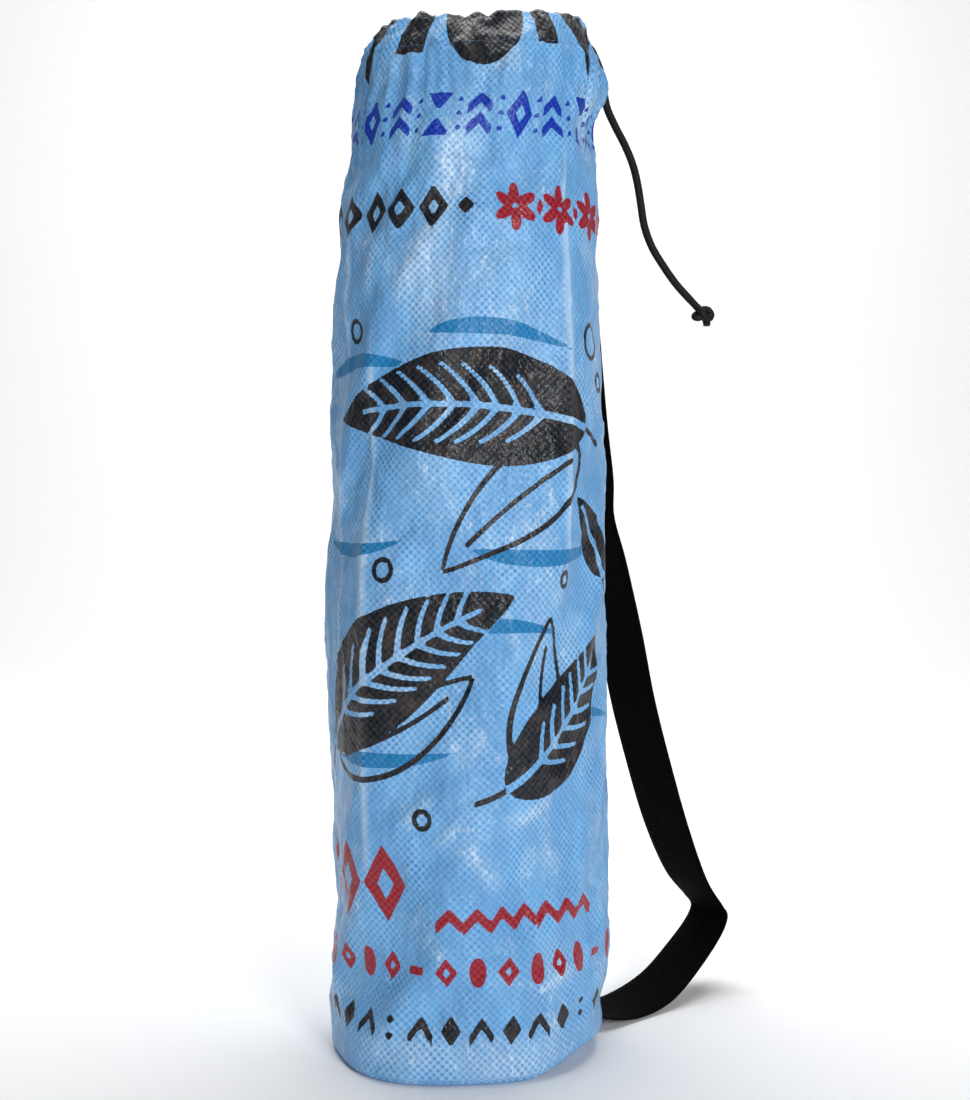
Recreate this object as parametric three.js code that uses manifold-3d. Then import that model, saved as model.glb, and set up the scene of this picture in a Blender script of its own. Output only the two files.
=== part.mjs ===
import * as THREE from "three";
import { mergeVertices } from "three/addons/utils/BufferGeometryUtils.js";
import Module from "manifold-3d";

// A tall drawstring bag for a rolled exercise mat, standing on its round base.
// It is a tube of woven sack cloth with a cord gathered round its mouth and a
// webbing shoulder strap. Millimetres, +Z up, origin at the centre of the base
// on the floor, front towards -Y. Turns are degrees round Z, 0 at the front
// and 90 at the right.

// The tube of cloth
const bag_height = 646;
const bag_radius = 88;
const cloth_thickness = 1.2;
const foot_radius = 86;
const foot_lip = 6;
const foot_round = 5;
const foot_lift = 10.5;
const foot_lift_reach = 62;
const seam_gap = 0.3;

// The gathered mouth and its cord casing
const casing_height = 22;
const mouth_half_width = 59;
const mouth_half_depth = 50;
const mouth_shift = 8.5;
const mouth_rise = 6;
const mouth_right_rise = 2.5;
const crest_round = 3;
const crest_ripple_height = 1.8;
const gathers = 20;
const gather_depth = 5.2;
const hem_gather_depth = 2.5;

// The drawcord
const cord_diameter = 5;
const cord_clearance = 0.9;
const cord_depth = 9;
const cord_exit_angle = 108;
const cord_bend_angle = 8;
const cord_exit_width = 20;
const cord_exit_height = 8;
const cord_joint_gap = 0.3;

// The shoulder strap
const strap_width = 38;
const strap_thickness = 1.8;
const strap_angle = 130;
const strap_reach = 150;
const strap_gap = 0.5;

// Shares and powers of the form: the flat middle of the base, how far down the
// mouth's rise reaches, how square the mouth is (2 is round), how late its
// width and depth draw in, and the gathers' depth at its edge.
const base_flat = 0.55;
const rise_start = 0.8;
const mouth_corner = 2.8;
const width_delay = 1.9;
const depth_delay = 1.6;
const mouth_gather = 0.8;

// How unevenly the gathers go round, in waves of so many laps.
const gather_even = 0.72;
const gather_waves = [
  { laps: 3, size: 0.2, phase: 1 },
  { laps: 7, size: 0.2, phase: 0 },
];

// The degrees on each side of the strap where the gathers are pressed flat, and
// where they are whole again.
const pressed_angle = 12;
const free_angle = 24;

// The turns where the lifted part of the foot starts, is full, falls and ends.
const lift_start_angle = 24;
const lift_full_angle = 60;
const lift_fall_angle = 78;
const lift_end_angle = 116;

// How finely the meshes are divided
const columns = gathers * 4;
const cord_sides = 8;
const loop_steps = columns / 2;
const tail_steps = 30;
const knot_sides = 6;

const radians = THREE.MathUtils.degToRad;
const up = new THREE.Vector3(0, 0, 1);

// Sections of the tube between the foot and the casing. height is a share of
// bag_height, wide and deep are shares of bag_radius, shift is the centre's
// step to the right as a share of bag_radius, and gather is the share of
// gather_depth that reaches down to there.
const sections = [
  { height: 0.0, wide: 0.977, deep: 0.977, shift: 0.0, gather: 0 },
  { height: 0.022, wide: 0.985, deep: 0.985, shift: 0.0, gather: 0 },
  { height: 0.044, wide: 0.99, deep: 0.99, shift: 0.0, gather: 0 },
  { height: 0.075, wide: 0.994, deep: 0.99, shift: 0.004, gather: 0 },
  { height: 0.14, wide: 0.982, deep: 0.99, shift: 0.0, gather: 0 },
  { height: 0.22, wide: 0.992, deep: 0.995, shift: -0.01, gather: 0 },
  { height: 0.33, wide: 1.0, deep: 1.0, shift: -0.018, gather: 0 },
  { height: 0.55, wide: 0.988, deep: 0.98, shift: -0.01, gather: 0 },
  { height: 0.65, wide: 0.975, deep: 0.965, shift: -0.004, gather: 0 },
  { height: 0.74, wide: 0.959, deep: 0.945, shift: 0.003, gather: 0 },
  { height: 0.81, wide: 0.93, deep: 0.925, shift: 0.015, gather: 0.04 },
  { height: 0.86, wide: 0.902, deep: 0.905, shift: 0.026, gather: 0.12 },
  { height: 0.9, wide: 0.882, deep: 0.88, shift: 0.05, gather: 0.3 },
  { height: 0.935, wide: 0.872, deep: 0.835, shift: 0.088, gather: 0.5 },
];

// Dents, bulges and creases of the cloth. turn and height place the middle,
// half_turn and half_height (a share of bag_height) are its reach, out is a
// share of bag_radius, and a sharp fold comes to an edge along its middle.
const folds = [
  { turn: 43, height: 0.62, half_turn: 15, half_height: 0.3, out: 0.028, sharp: 1 },
  { turn: -41, height: 0.42, half_turn: 15, half_height: 0.42, out: 0.028, sharp: 1 },
  { turn: -62, height: 0.5, half_turn: 10, half_height: 0.36, out: 0.016, sharp: 1 },
  { turn: 0, height: 0.48, half_turn: 34, half_height: 0.42, out: -0.016, sharp: 0 },
  { turn: 138, height: 0.5, half_turn: 18, half_height: 0.4, out: 0.02, sharp: 1 },
  { turn: 222, height: 0.46, half_turn: 18, half_height: 0.4, out: 0.02, sharp: 1 },
  { turn: 88, height: 0.935, half_turn: 26, half_height: 0.03, out: 0.045, sharp: 0 },
  { turn: 74, height: 0.892, half_turn: 26, half_height: 0.032, out: -0.03, sharp: 0 },
  { turn: -38, height: 0.83, half_turn: 20, half_height: 0.09, out: -0.03, sharp: 0 },
  { turn: -14, height: 0.88, half_turn: 14, half_height: 0.08, out: 0.022, sharp: 0 },
  { turn: 95, height: 0.044, half_turn: 30, half_height: 0.03, out: -0.045, sharp: 0 },
  { turn: 24, height: 0.2, half_turn: 18, half_height: 0.09, out: -0.02, sharp: 0 },
  { turn: -34, height: 0.0, half_turn: 40, half_height: 0.1, out: 0.09, sharp: 0 },
];

// The strap's middle line from its sewn top end to the foot seam. height is a
// share of bag_height, turn is degrees past strap_angle, out is its distance
// from the wall as a share of strap_reach, face turns its width about the
// vertical and dip tips the width's back edge up, both in degrees, and hug is
// 1 where the strap lies on the wall.
const strap_stations = [
  { height: 0.944, turn: 0, out: 0.0, face: 0, dip: 0, hug: 1 },
  { height: 0.925, turn: 0, out: 0.0, face: 0, dip: 0, hug: 1 },
  { height: 0.905, turn: 0, out: 0.004, face: 0, dip: 0, hug: 1 },
  { height: 0.88, turn: 0, out: 0.02, face: 0, dip: 0, hug: 0.6 },
  { height: 0.83, turn: -1, out: 0.05, face: 0, dip: 0, hug: 0 },
  { height: 0.72, turn: -2, out: 0.075, face: 0, dip: 0, hug: 0 },
  { height: 0.62, turn: -2, out: 0.115, face: 2, dip: 0, hug: 0 },
  { height: 0.56, turn: -2, out: 0.145, face: 4, dip: 0, hug: 0 },
  { height: 0.525, turn: -2, out: 0.145, face: 5, dip: 0, hug: 0 },
  { height: 0.48, turn: -2, out: 0.205, face: 8, dip: 0, hug: 0 },
  { height: 0.4, turn: -2, out: 0.3, face: 12, dip: 0, hug: 0 },
  { height: 0.33, turn: -2, out: 0.375, face: 14, dip: 0, hug: 0 },
  { height: 0.265, turn: -2, out: 0.47, face: 14, dip: 0, hug: 0 },
  { height: 0.18, turn: -2, out: 0.615, face: 12, dip: 0, hug: 0 },
  { height: 0.12, turn: -2, out: 0.75, face: 6, dip: 2, hug: 0 },
  { height: 0.092, turn: -2, out: 0.855, face: 0, dip: 2, hug: 0 },
  { height: 0.08, turn: -2, out: 0.895, face: -2, dip: 2, hug: 0 },
  { height: 0.068, turn: -2.5, out: 0.86, face: -2, dip: 5, hug: 0 },
  { height: 0.039, turn: -5, out: 0.65, face: -2, dip: 13, hug: 0 },
  { height: 0.017, turn: -8.5, out: 0.43, face: -2, dip: 16, hug: 0 },
  { height: 0.0084, turn: -12, out: 0.21, face: 0, dip: 10, hug: 0 },
  { height: 0.0105, turn: -16, out: 0.04, face: 0, dip: 10, hug: 0.7 },
  { height: 0.012, turn: -17, out: 0.004, face: 0, dip: 10, hug: 1 },
];

// The free end of the cord, from the casing's exit to its knot: its middle
// line, chosen by eye.
const tail_points = [
  [76.2, 26.5, 647.0],
  [80.6, 29.0, 648.4],
  [85.6, 30.0, 640.6],
  [89.4, 30.0, 629.4],
  [90.8, 30.0, 619.5],
  [92.6, 30.0, 609.8],
  [98.1, 30.0, 597.0],
  [104.9, 30.0, 583.7],
  [110.2, 30.0, 570.4],
  [113.3, 30.0, 557.2],
  [115.4, 30.0, 543.9],
  [117.6, 30.0, 530.6],
  [122.3, 30.0, 517.4],
  [130.2, 30.0, 504.1],
  [139.7, 30.0, 490.8],
  [148.2, 30.0, 481.4],
];

// The knot's middle line from where the cord goes in to its short stub, as
// steps from the middle of the knot, also chosen by eye.
const knot_middle = [156.6, 30.0, 471.4];
const knot_points = [
  [-8.2, 0.0, 9.8],
  [-4.4, -0.8, 5.6],
  [-0.8, -2.4, 1.2],
  [1.8, -1.6, -1.8],
  [4.6, 0.6, -1.4],
  [5.2, 2.2, 1.4],
  [3.2, 2.4, 3.8],
  [0.2, 2.0, 3.9],
  [-2.4, 2.4, 1.6],
  [-4.6, 2.0, 0.4],
  [-5.3, 0.2, -1.0],
  [-3.6, -0.8, -1.6],
  [-0.6, 0.6, -0.6],
  [1.8, 1.6, -2.4],
  [2.4, 0.6, -5.0],
  [2.5, 0.2, -6.6],
];

// A column of a table at a height, straight between its rows.
function read(table, column, height) {
  const last = table.length - 1;
  if (height <= table[0].height) return table[0][column];
  if (height >= table[last].height) return table[last][column];
  const above = table.findIndex((row) => row.height > height);
  const low = table[above - 1];
  const high = table[above];
  const share = (height - low.height) / (high.height - low.height);
  return THREE.MathUtils.lerp(low[column], high[column], share);
}

// The smallest angle from one turn to another, in degrees.
function turnBetween(from, to) {
  return THREE.MathUtils.euclideanModulo(to - from + 180, 360) - 180;
}

// The outward step of one fold at a place on the tube.
function foldAt(fold, turn, height) {
  const across = Math.abs(turnBetween(fold.turn, turn)) / fold.half_turn;
  const along = Math.abs(height - fold.height) / fold.half_height;
  if (across >= 1 || along >= 1) return 0;
  const bell = Math.cos((across * Math.PI) / 2) ** 2;
  const edge = (1 - across) ** 2;
  const fade = Math.cos((along * Math.PI) / 2) ** 2;
  return fold.out * bag_radius * fade * THREE.MathUtils.lerp(bell, edge, fold.sharp);
}

// How far the foot is lifted off the floor at the side where the strap pulls.
function footLift(turn) {
  const round = THREE.MathUtils.euclideanModulo(turn, 360);
  const rise = THREE.MathUtils.smoothstep(round, lift_start_angle, lift_full_angle);
  const fall = 1 - THREE.MathUtils.smoothstep(round, lift_fall_angle, lift_end_angle);
  return foot_lift * rise * fall;
}

// How deep the gathers are at a turn: uneven, and pressed flat under the strap.
function gatherSize(turn) {
  const a = radians(turn);
  const wave = ({ laps, size, phase }) => size * Math.sin(laps * a + phase);
  const uneven = gather_waves.reduce((sum, row) => sum + wave(row), gather_even);
  const aside = Math.abs(turnBetween(strap_angle, turn));
  return uneven * THREE.MathUtils.smoothstep(aside, pressed_angle, free_angle);
}

function gatherWave(turn) {
  return 0.5 + 0.5 * Math.cos(radians(turn) * gathers);
}

// The height of the mouth's edge: it rises at both sides, more at the right.
function mouthHeight(turn) {
  const side = Math.sin(radians(turn));
  return bag_height + mouth_rise * side ** 2 + mouth_right_rise * side;
}

// The tube without its gathers. height is a share of bag_height up to the
// casing's seam, and goes on from there to 1 at the mouth's edge.
function plainTube(turn, height) {
  const a = radians(turn);
  const seam = 1 - casing_height / bag_height;
  const last = sections[sections.length - 1];
  let wide = read(sections, "wide", height) * bag_radius;
  let deep = read(sections, "deep", height) * bag_radius;
  let shift = read(sections, "shift", height) * bag_radius;
  let corner = 2;
  if (height > last.height) {
    const share = (height - last.height) / (1 - last.height);
    wide = THREE.MathUtils.lerp(wide, mouth_half_width, share ** width_delay);
    deep = THREE.MathUtils.lerp(deep, mouth_half_depth, share ** depth_delay);
    shift = THREE.MathUtils.lerp(shift, mouth_shift, share);
    corner = THREE.MathUtils.lerp(corner, mouth_corner, share);
  }
  if (height < sections[1].height) {
    const share = height / sections[1].height;
    wide = THREE.MathUtils.lerp(foot_radius, wide, share);
    deep = THREE.MathUtils.lerp(foot_radius, deep, share);
  }
  const x = Math.sin(a);
  const y = -Math.cos(a);
  const k = (Math.abs(x) ** corner + Math.abs(y) ** corner) ** (-1 / corner);
  const out = folds.reduce((sum, fold) => sum + foldAt(fold, turn, height), 0);
  const raised = THREE.MathUtils.smoothstep(height, rise_start, seam);
  const lifted = Math.max(0, 1 - (height * bag_height) / foot_lift_reach);
  const z =
    height * bag_height +
    raised * (mouthHeight(turn) - bag_height) +
    lifted * footLift(turn);
  return new THREE.Vector3(shift + wide * x * k + out * x, deep * y * k + out * y, z);
}

// The level direction that points out of the tube.
function outward(turn, height) {
  const before = plainTube(turn - 1, height);
  const along = plainTube(turn + 1, height).sub(before);
  return new THREE.Vector3(along.y, -along.x, 0).normalize();
}

// The direction square to the cloth, out of the tube.
function squareOut(turn, height) {
  const reach = 2 / bag_height;
  const around = plainTube(turn + 1, height).sub(plainTube(turn - 1, height));
  const above = Math.min(height + reach, 1);
  const along = plainTube(turn, above).sub(plainTube(turn, above - 2 * reach));
  return around.cross(along).normalize();
}

// The middle of the cloth, gathers and all.
function wall(turn, height) {
  const share = read(sections, "gather", height);
  const last = sections[sections.length - 1];
  const more = THREE.MathUtils.clamp((height - last.height) / (1 - last.height), 0, 1);
  const depth = gather_depth * THREE.MathUtils.lerp(share, mouth_gather, more);
  const step = depth * gatherSize(turn) * gatherWave(turn);
  return plainTube(turn, height).addScaledVector(outward(turn, height), step);
}

function meshOf(places, faces) {
  const geometry = new THREE.BufferGeometry();
  geometry.setAttribute("position", new THREE.Float32BufferAttribute(places, 3));
  geometry.setIndex(faces);
  return geometry;
}

// A closed solid from a grid of points down the middle of a sheet: rows of
// points, each row closed on itself or open, and the sheet's thickness.
function sheetSolid(rows, thickness, closed) {
  const count = rows[0].length;
  const normalAt = (i, j) => {
    const back = closed ? (j + count - 1) % count : Math.max(j - 1, 0);
    const next = closed ? (j + 1) % count : Math.min(j + 1, count - 1);
    const across = rows[i][next].clone().sub(rows[i][back]);
    const above = rows[Math.min(i + 1, rows.length - 1)][j];
    const along = above.clone().sub(rows[Math.max(i - 1, 0)][j]);
    return across.cross(along).normalize();
  };
  const corners = [];
  for (const side of [0.5, -0.5])
    rows.forEach((row, i) =>
      row.forEach((point, j) =>
        corners.push(point.clone().addScaledVector(normalAt(i, j), side * thickness)),
      ),
    );
  const layer = rows.length * count;
  const faces = [];
  const quad = (a, b, c, d) => faces.push(a, b, c, a, c, d);
  const steps = closed ? count : count - 1;
  for (let i = 0; i < rows.length - 1; i++)
    for (let j = 0; j < steps; j++) {
      const a = i * count + j;
      const b = i * count + ((j + 1) % count);
      quad(a, b, b + count, a + count);
      quad(layer + b, layer + a, layer + a + count, layer + b + count);
    }
  const top = (rows.length - 1) * count;
  for (let j = 0; j < steps; j++) {
    const next = (j + 1) % count;
    quad(next, j, layer + j, layer + next);
    quad(top + j, top + next, layer + top + next, layer + top + j);
  }
  if (!closed)
    for (let i = 0; i < rows.length - 1; i++) {
      const a = i * count;
      const end = a + count - 1;
      quad(a, a + count, layer + a + count, layer + a);
      quad(end + count, end, layer + end, layer + end + count);
    }
  return meshOf(
    corners.flatMap((corner) => corner.toArray()),
    faces,
  );
}

// A round cord along a smooth line through points.
function cordSolid(points, steps, sides) {
  const curve = new THREE.CatmullRomCurve3(points, false, "centripetal");
  const ring = Array.from({ length: sides }, (_, i) => {
    const a = (i * 2 * Math.PI) / sides;
    const r = cord_diameter / 2;
    return new THREE.Vector2(r * Math.cos(a), r * Math.sin(a));
  });
  return new THREE.ExtrudeGeometry(new THREE.Shape(ring), { steps, extrudePath: curve });
}

const turns = Array.from({ length: columns }, (_, j) => (j * 360) / columns);

// The lip that is turned in under the foot, and the round of the foot.
function footRow(inward, height) {
  return turns.map((turn) => {
    const place = plainTube(turn, 0);
    place.addScaledVector(outward(turn, 0), -inward);
    place.z = footLift(turn) + cloth_thickness / 2 + height;
    return place;
  });
}

// The channel between the casing's outer layer and its hem.
const channel = cord_diameter + 2 * cord_clearance;

// A place in the casing: a distance down from the mouth's edge, and a distance
// in from the outer layer's plain line.
function casingPlace(turn, down, inward) {
  const height = 1 - down / bag_height;
  return plainTube(turn, height).addScaledVector(squareOut(turn, height), -inward);
}

// The fold of the mouth's edge, higher where a gather stands out.
function crestPlace(turn) {
  const place = casingPlace(turn, 0, (channel + cloth_thickness) / 2);
  place.z += crest_ripple_height * gatherSize(turn) * (gatherWave(turn) - 0.5);
  return place;
}

function hemPlace(turn, down) {
  const step = hem_gather_depth * gatherSize(turn) * gatherWave(turn);
  return casingPlace(turn, down, channel + cloth_thickness + step);
}

// The hem's edge, sewn back on to the inside of the tube.
function hemEdge(turn) {
  const height = 1 - casing_height / bag_height;
  const place = wall(turn, height);
  const inward = cloth_thickness + 2 * seam_gap;
  return place.addScaledVector(outward(turn, height), -inward);
}

function bagRows() {
  const slant = foot_round * (1 - Math.SQRT1_2);
  const rows = [
    footRow(foot_round + foot_lip, 0),
    footRow(foot_round, 0),
    footRow(slant, slant),
  ];
  const seam = 1 - casing_height / bag_height;
  for (const section of sections.slice(1))
    rows.push(turns.map((turn) => wall(turn, section.height)));
  for (const height of [seam, (seam + 1) / 2, 1 - crest_round / bag_height])
    rows.push(turns.map((turn) => wall(turn, height)));
  rows.push(turns.map(crestPlace));
  rows.push(turns.map((turn) => hemPlace(turn, crest_round)));
  rows.push(turns.map((turn) => hemPlace(turn, casing_height / 2)));
  rows.push(turns.map(hemEdge));
  return rows;
}

// A box that stands in the casing's outer layer where the cord comes out.
function exitCutter() {
  const height = 1 - cord_depth / bag_height;
  const middle = wall(cord_exit_angle, height);
  const out = outward(cord_exit_angle, height);
  const deep = channel + gather_depth;
  const box = new THREE.BoxGeometry(deep, cord_exit_width, cord_exit_height);
  const along = up.clone().cross(out);
  box.applyMatrix4(new THREE.Matrix4().makeBasis(out, along, up));
  return box.translate(middle.x, middle.y, middle.z);
}

const wasm = await Module();
wasm.setup();

function solidOf(geometry) {
  const bare = geometry.clone();
  bare.deleteAttribute("normal");
  bare.deleteAttribute("uv");
  const merged = mergeVertices(bare, 1e-4);
  return new wasm.Manifold(
    new wasm.Mesh({
      numProp: 3,
      vertProperties: merged.attributes.position.array,
      triVerts: new Uint32Array(merged.index.array),
    }),
  );
}

function geometryOf(solid) {
  const mesh = solid.getMesh();
  const geometry = new THREE.BufferGeometry();
  const places = new THREE.BufferAttribute(mesh.vertProperties, 3);
  geometry.setAttribute("position", places);
  geometry.setIndex([...mesh.triVerts]);
  return geometry;
}

function bagBody() {
  const tube = solidOf(sheetSolid(bagRows(), cloth_thickness, true));
  return geometryOf(tube.subtract(solidOf(exitCutter())));
}

// The round base, flat in the middle and lifted with the foot at its edge: one
// centre point on each face and rings of points round it.
function basePanel() {
  const edge = foot_round + foot_lip + seam_gap;
  const rings = [base_flat, 1];
  const corners = [];
  for (const side of [-0.5, 0.5]) {
    const level = (0.5 + side) * cloth_thickness;
    corners.push(0, 0, level);
    for (const share of rings)
      for (const turn of turns) {
        const rim = plainTube(turn, 0).addScaledVector(outward(turn, 0), -edge);
        const raised = ((share - base_flat) / (1 - base_flat)) ** 2 * footLift(turn);
        corners.push(rim.x * share, rim.y * share, level + raised);
      }
  }
  const layer = 1 + rings.length * columns;
  const faces = [];
  const quad = (a, b, c, d) => faces.push(a, b, c, a, c, d);
  for (let j = 0; j < columns; j++) {
    const next = (j + 1) % columns;
    faces.push(0, 1 + next, 1 + j);
    faces.push(layer, layer + 1 + j, layer + 1 + next);
    for (let i = 0; i < rings.length - 1; i++) {
      const a = 1 + i * columns + j;
      const b = 1 + i * columns + next;
      quad(a, b, b + columns, a + columns);
      quad(layer + b, layer + a, layer + a + columns, layer + b + columns);
    }
    const outer = 1 + (rings.length - 1) * columns;
    quad(outer + j, outer + next, layer + outer + next, layer + outer + j);
  }
  return meshOf(corners, faces);
}

// The middle line of the cord in its channel.
function loopPlace(turn) {
  return casingPlace(turn, cord_depth, (channel + cloth_thickness) / 2);
}

function drawcordLoop() {
  const start = cord_exit_angle + cord_bend_angle;
  const sweep = 360 - 2 * cord_bend_angle;
  const points = Array.from({ length: loop_steps + 1 }, (_, i) =>
    loopPlace(start + (sweep * i) / loop_steps),
  );
  return cordSolid(points, loop_steps, cord_sides);
}

const vectors = (points) => points.map((point) => new THREE.Vector3(...point));

function drawcordTail() {
  const gap_turn = THREE.MathUtils.radToDeg(cord_joint_gap / mouth_half_depth);
  const start = loopPlace(cord_exit_angle + cord_bend_angle - gap_turn);
  const bend = loopPlace(cord_exit_angle + cord_bend_angle / 2);
  return cordSolid([start, bend, ...vectors(tail_points)], tail_steps, cord_sides);
}

// An overhand knot, pulled tight: short pieces of cord joined where they press
// on each other.
function drawcordKnot() {
  const middle = new THREE.Vector3(...knot_middle);
  const points = vectors(knot_points).map((point) => point.add(middle));
  const gap = points[1].clone().sub(points[0]).setLength(cord_joint_gap);
  points[0].add(gap);
  const line = new THREE.CatmullRomCurve3(points, false, "centripetal");
  const pieces = points.length - 1;
  let knot = null;
  for (let i = 0; i < pieces; i++) {
    const end = Math.min((i + 1.3) / pieces, 1);
    const stations = [i / pieces, (i + 0.5) / pieces, end];
    const places = stations.map((share) => line.getPoint(share));
    const piece = solidOf(cordSolid(places, 2, knot_sides));
    knot = knot ? knot.add(piece) : piece;
  }
  return geometryOf(knot);
}

// The strap's rows of points across its width at its stations.
function strapStationRows() {
  const across = [-0.5, -0.25, 0, 0.25, 0.5];
  return strap_stations.map((station) => {
    const turn = strap_angle + station.turn;
    const seat = cloth_thickness / 2 + strap_gap + strap_thickness / 2;
    const out = seat + station.out * strap_reach;
    const face = wall(turn, station.height);
    const normal = outward(turn, station.height);
    const middle = face.clone().addScaledVector(normal, out);
    const width = up.clone().cross(normal);
    width.applyAxisAngle(up, radians(station.face));
    const level = Math.cos(radians(station.dip));
    width.multiplyScalar(level);
    width.z = Math.sin(radians(station.dip));
    return across.map((share) => {
      const straight = middle.clone().addScaledVector(width, share * strap_width);
      const arc = (share * strap_width * 180) / Math.PI / bag_radius;
      const lying = wall(turn + arc, station.height);
      lying.addScaledVector(outward(turn + arc, station.height), out);
      return straight.lerp(lying, station.hug);
    });
  });
}

// A smooth line through each row of stations, with a row halfway between two.
function strapRows() {
  const stations = strapStationRows();
  const lines = stations[0].map((_, j) => {
    const points = stations.map((row) => row[j]);
    return new THREE.CatmullRomCurve3(points, false, "centripetal");
  });
  const steps = 2 * (stations.length - 1);
  return Array.from({ length: steps + 1 }, (_, i) =>
    lines.map((line) => line.getPoint(i / steps)),
  );
}

function shoulderStrap() {
  return sheetSolid(strapRows(), strap_thickness, false);
}

const bag = new THREE.Group();

function add(name, geometry, color, roughness) {
  const material = new THREE.MeshStandardMaterial({ color, roughness, metalness: 0 });
  const mesh = new THREE.Mesh(geometry, material);
  mesh.name = name;
  bag.add(mesh);
}

const sky_blue = 0x8fc1ea;
const soft_black = 0x131316;

add("bag_body", bagBody(), sky_blue, 0.4);
add("base_panel", basePanel(), sky_blue, 0.45);
add("drawcord_loop", drawcordLoop(), soft_black, 0.8);
add("drawcord_tail", drawcordTail(), soft_black, 0.8);
add("drawcord_knot", drawcordKnot(), soft_black, 0.8);
add("shoulder_strap", shoulderStrap(), soft_black, 0.85);

export default bag;
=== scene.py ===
"""A yoga mat bag in printed woven sack cloth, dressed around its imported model.

The form is worked out in millimetres from the same named sizes and tables as the model's solids, and
each mesh is written in metres. Turns are degrees round Z, 0 at the front (-Y) and 90 at the right.
"""

import math
import random

import bpy
import numpy as np
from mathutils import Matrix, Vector, noise


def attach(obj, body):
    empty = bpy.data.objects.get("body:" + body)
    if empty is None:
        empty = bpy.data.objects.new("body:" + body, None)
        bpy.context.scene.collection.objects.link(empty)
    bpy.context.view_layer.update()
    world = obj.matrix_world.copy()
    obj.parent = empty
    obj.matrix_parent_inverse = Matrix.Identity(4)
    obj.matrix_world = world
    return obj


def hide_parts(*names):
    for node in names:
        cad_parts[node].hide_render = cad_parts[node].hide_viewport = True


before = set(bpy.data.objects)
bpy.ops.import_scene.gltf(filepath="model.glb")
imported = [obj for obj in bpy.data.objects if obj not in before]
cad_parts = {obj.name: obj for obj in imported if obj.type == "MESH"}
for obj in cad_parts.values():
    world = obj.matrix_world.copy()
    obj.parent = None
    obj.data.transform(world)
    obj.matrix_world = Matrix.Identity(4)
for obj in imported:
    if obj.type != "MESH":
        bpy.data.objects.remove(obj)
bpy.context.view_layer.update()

MM = 0.001

# The tube of cloth
bag_height = 646.0
bag_radius = 88.0
sheet_thickness = 0.9
foot_radius = 86.0
foot_lip = 6.0
foot_round = 5.0
foot_lift = 10.5
foot_lift_reach = 62.0
lift_turns = (24, 60, 78, 116)
base_flat = 0.55
seam_gap = 0.3

# The gathered mouth and its cord casing
casing_height = 22.0
mouth_half_width = 59.0
mouth_half_depth = 50.0
mouth_shift = 8.5
mouth_rise = 6.0
mouth_right_rise = 2.5
crest_round = 3.0
crest_ripple_height = 0.9
gathers = 20
gather_depth = 5.2
hem_gather_depth = 2.5
mouth_gather = 0.8
mouth_square = 0.8
rise_start = 0.8
width_delay, depth_delay = 1.9, 1.6
pressed_turn, free_turn = 12, 24

# The drawcord
cord_diameter = 5.0
cord_clearance = 0.9
cord_depth = 9.0
cord_exit_turn = 108.0
cord_bend_turn = 8.0
cord_joint_gap = 0.3
slit_turn = 113.0
slit_half_turn = 4.8
slit_height = 8.0

# The shoulder strap
cloth_thickness = 1.2
strap_width = 38.0
strap_thickness = 1.8
strap_turn = 130.0
strap_reach = 150.0
strap_gap = 0.5

# The lapped side seam behind the strap
lap_half = 7.0
lap_height = 0.8

# Threads: diameters and pitches
strap_thread, strap_pitch, strap_thread_gap = 0.75, 3.2, 0.7
casing_thread, casing_stitch_count = 0.32, 150
side_thread, side_pitch = 0.5, 4.2

# The mesh of the cloth
columns = 264
wall_rows = 286
casing_rows = 10
foot_rows = 6
fold_run = 14
inner_step = 8
inner_aside = 2
inner_room = 0.35

channel = cord_diameter + 2 * cord_clearance
casing_room = 0.7
seam_height = 1 - casing_height / bag_height

sections = {
    "height": [0.0, 0.022, 0.044, 0.075, 0.14, 0.22, 0.33, 0.55, 0.65, 0.74, 0.81, 0.86, 0.9, 0.935],
    "wide": [0.977, 0.985, 0.99, 0.994, 0.982, 0.992, 1.0, 0.988, 0.975, 0.959, 0.93, 0.902, 0.882, 0.872],
    "deep": [0.977, 0.985, 0.99, 0.99, 0.99, 0.995, 1.0, 0.98, 0.965, 0.945, 0.925, 0.905, 0.88, 0.835],
    "shift": [0.0, 0.0, 0.0, 0.004, 0.0, -0.01, -0.018, -0.01, -0.004, 0.003, 0.015, 0.026, 0.05, 0.088],
    "gather": [0, 0, 0, 0, 0, 0, 0, 0, 0, 0, 0.04, 0.12, 0.3, 0.5],
}

# Dents, bulges and creases: turn, height, half_turn, half_height, out, sharp
folds = [
    (43, 0.62, 15, 0.3, 0.028, 1),
    (-41, 0.42, 15, 0.42, 0.028, 1),
    (-62, 0.5, 10, 0.36, 0.016, 1),
    (0, 0.48, 34, 0.42, -0.016, 0),
    (138, 0.5, 18, 0.4, 0.02, 1),
    (222, 0.46, 18, 0.4, 0.02, 1),
    (88, 0.935, 26, 0.03, 0.045, 0),
    (74, 0.892, 26, 0.032, -0.03, 0),
    (-38, 0.83, 20, 0.09, -0.03, 0),
    (-14, 0.88, 14, 0.08, 0.022, 0),
    (95, 0.044, 30, 0.03, -0.045, 0),
    (24, 0.2, 18, 0.09, -0.02, 0),
    (-34, 0.0, 40, 0.1, 0.09, 0),
]

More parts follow.
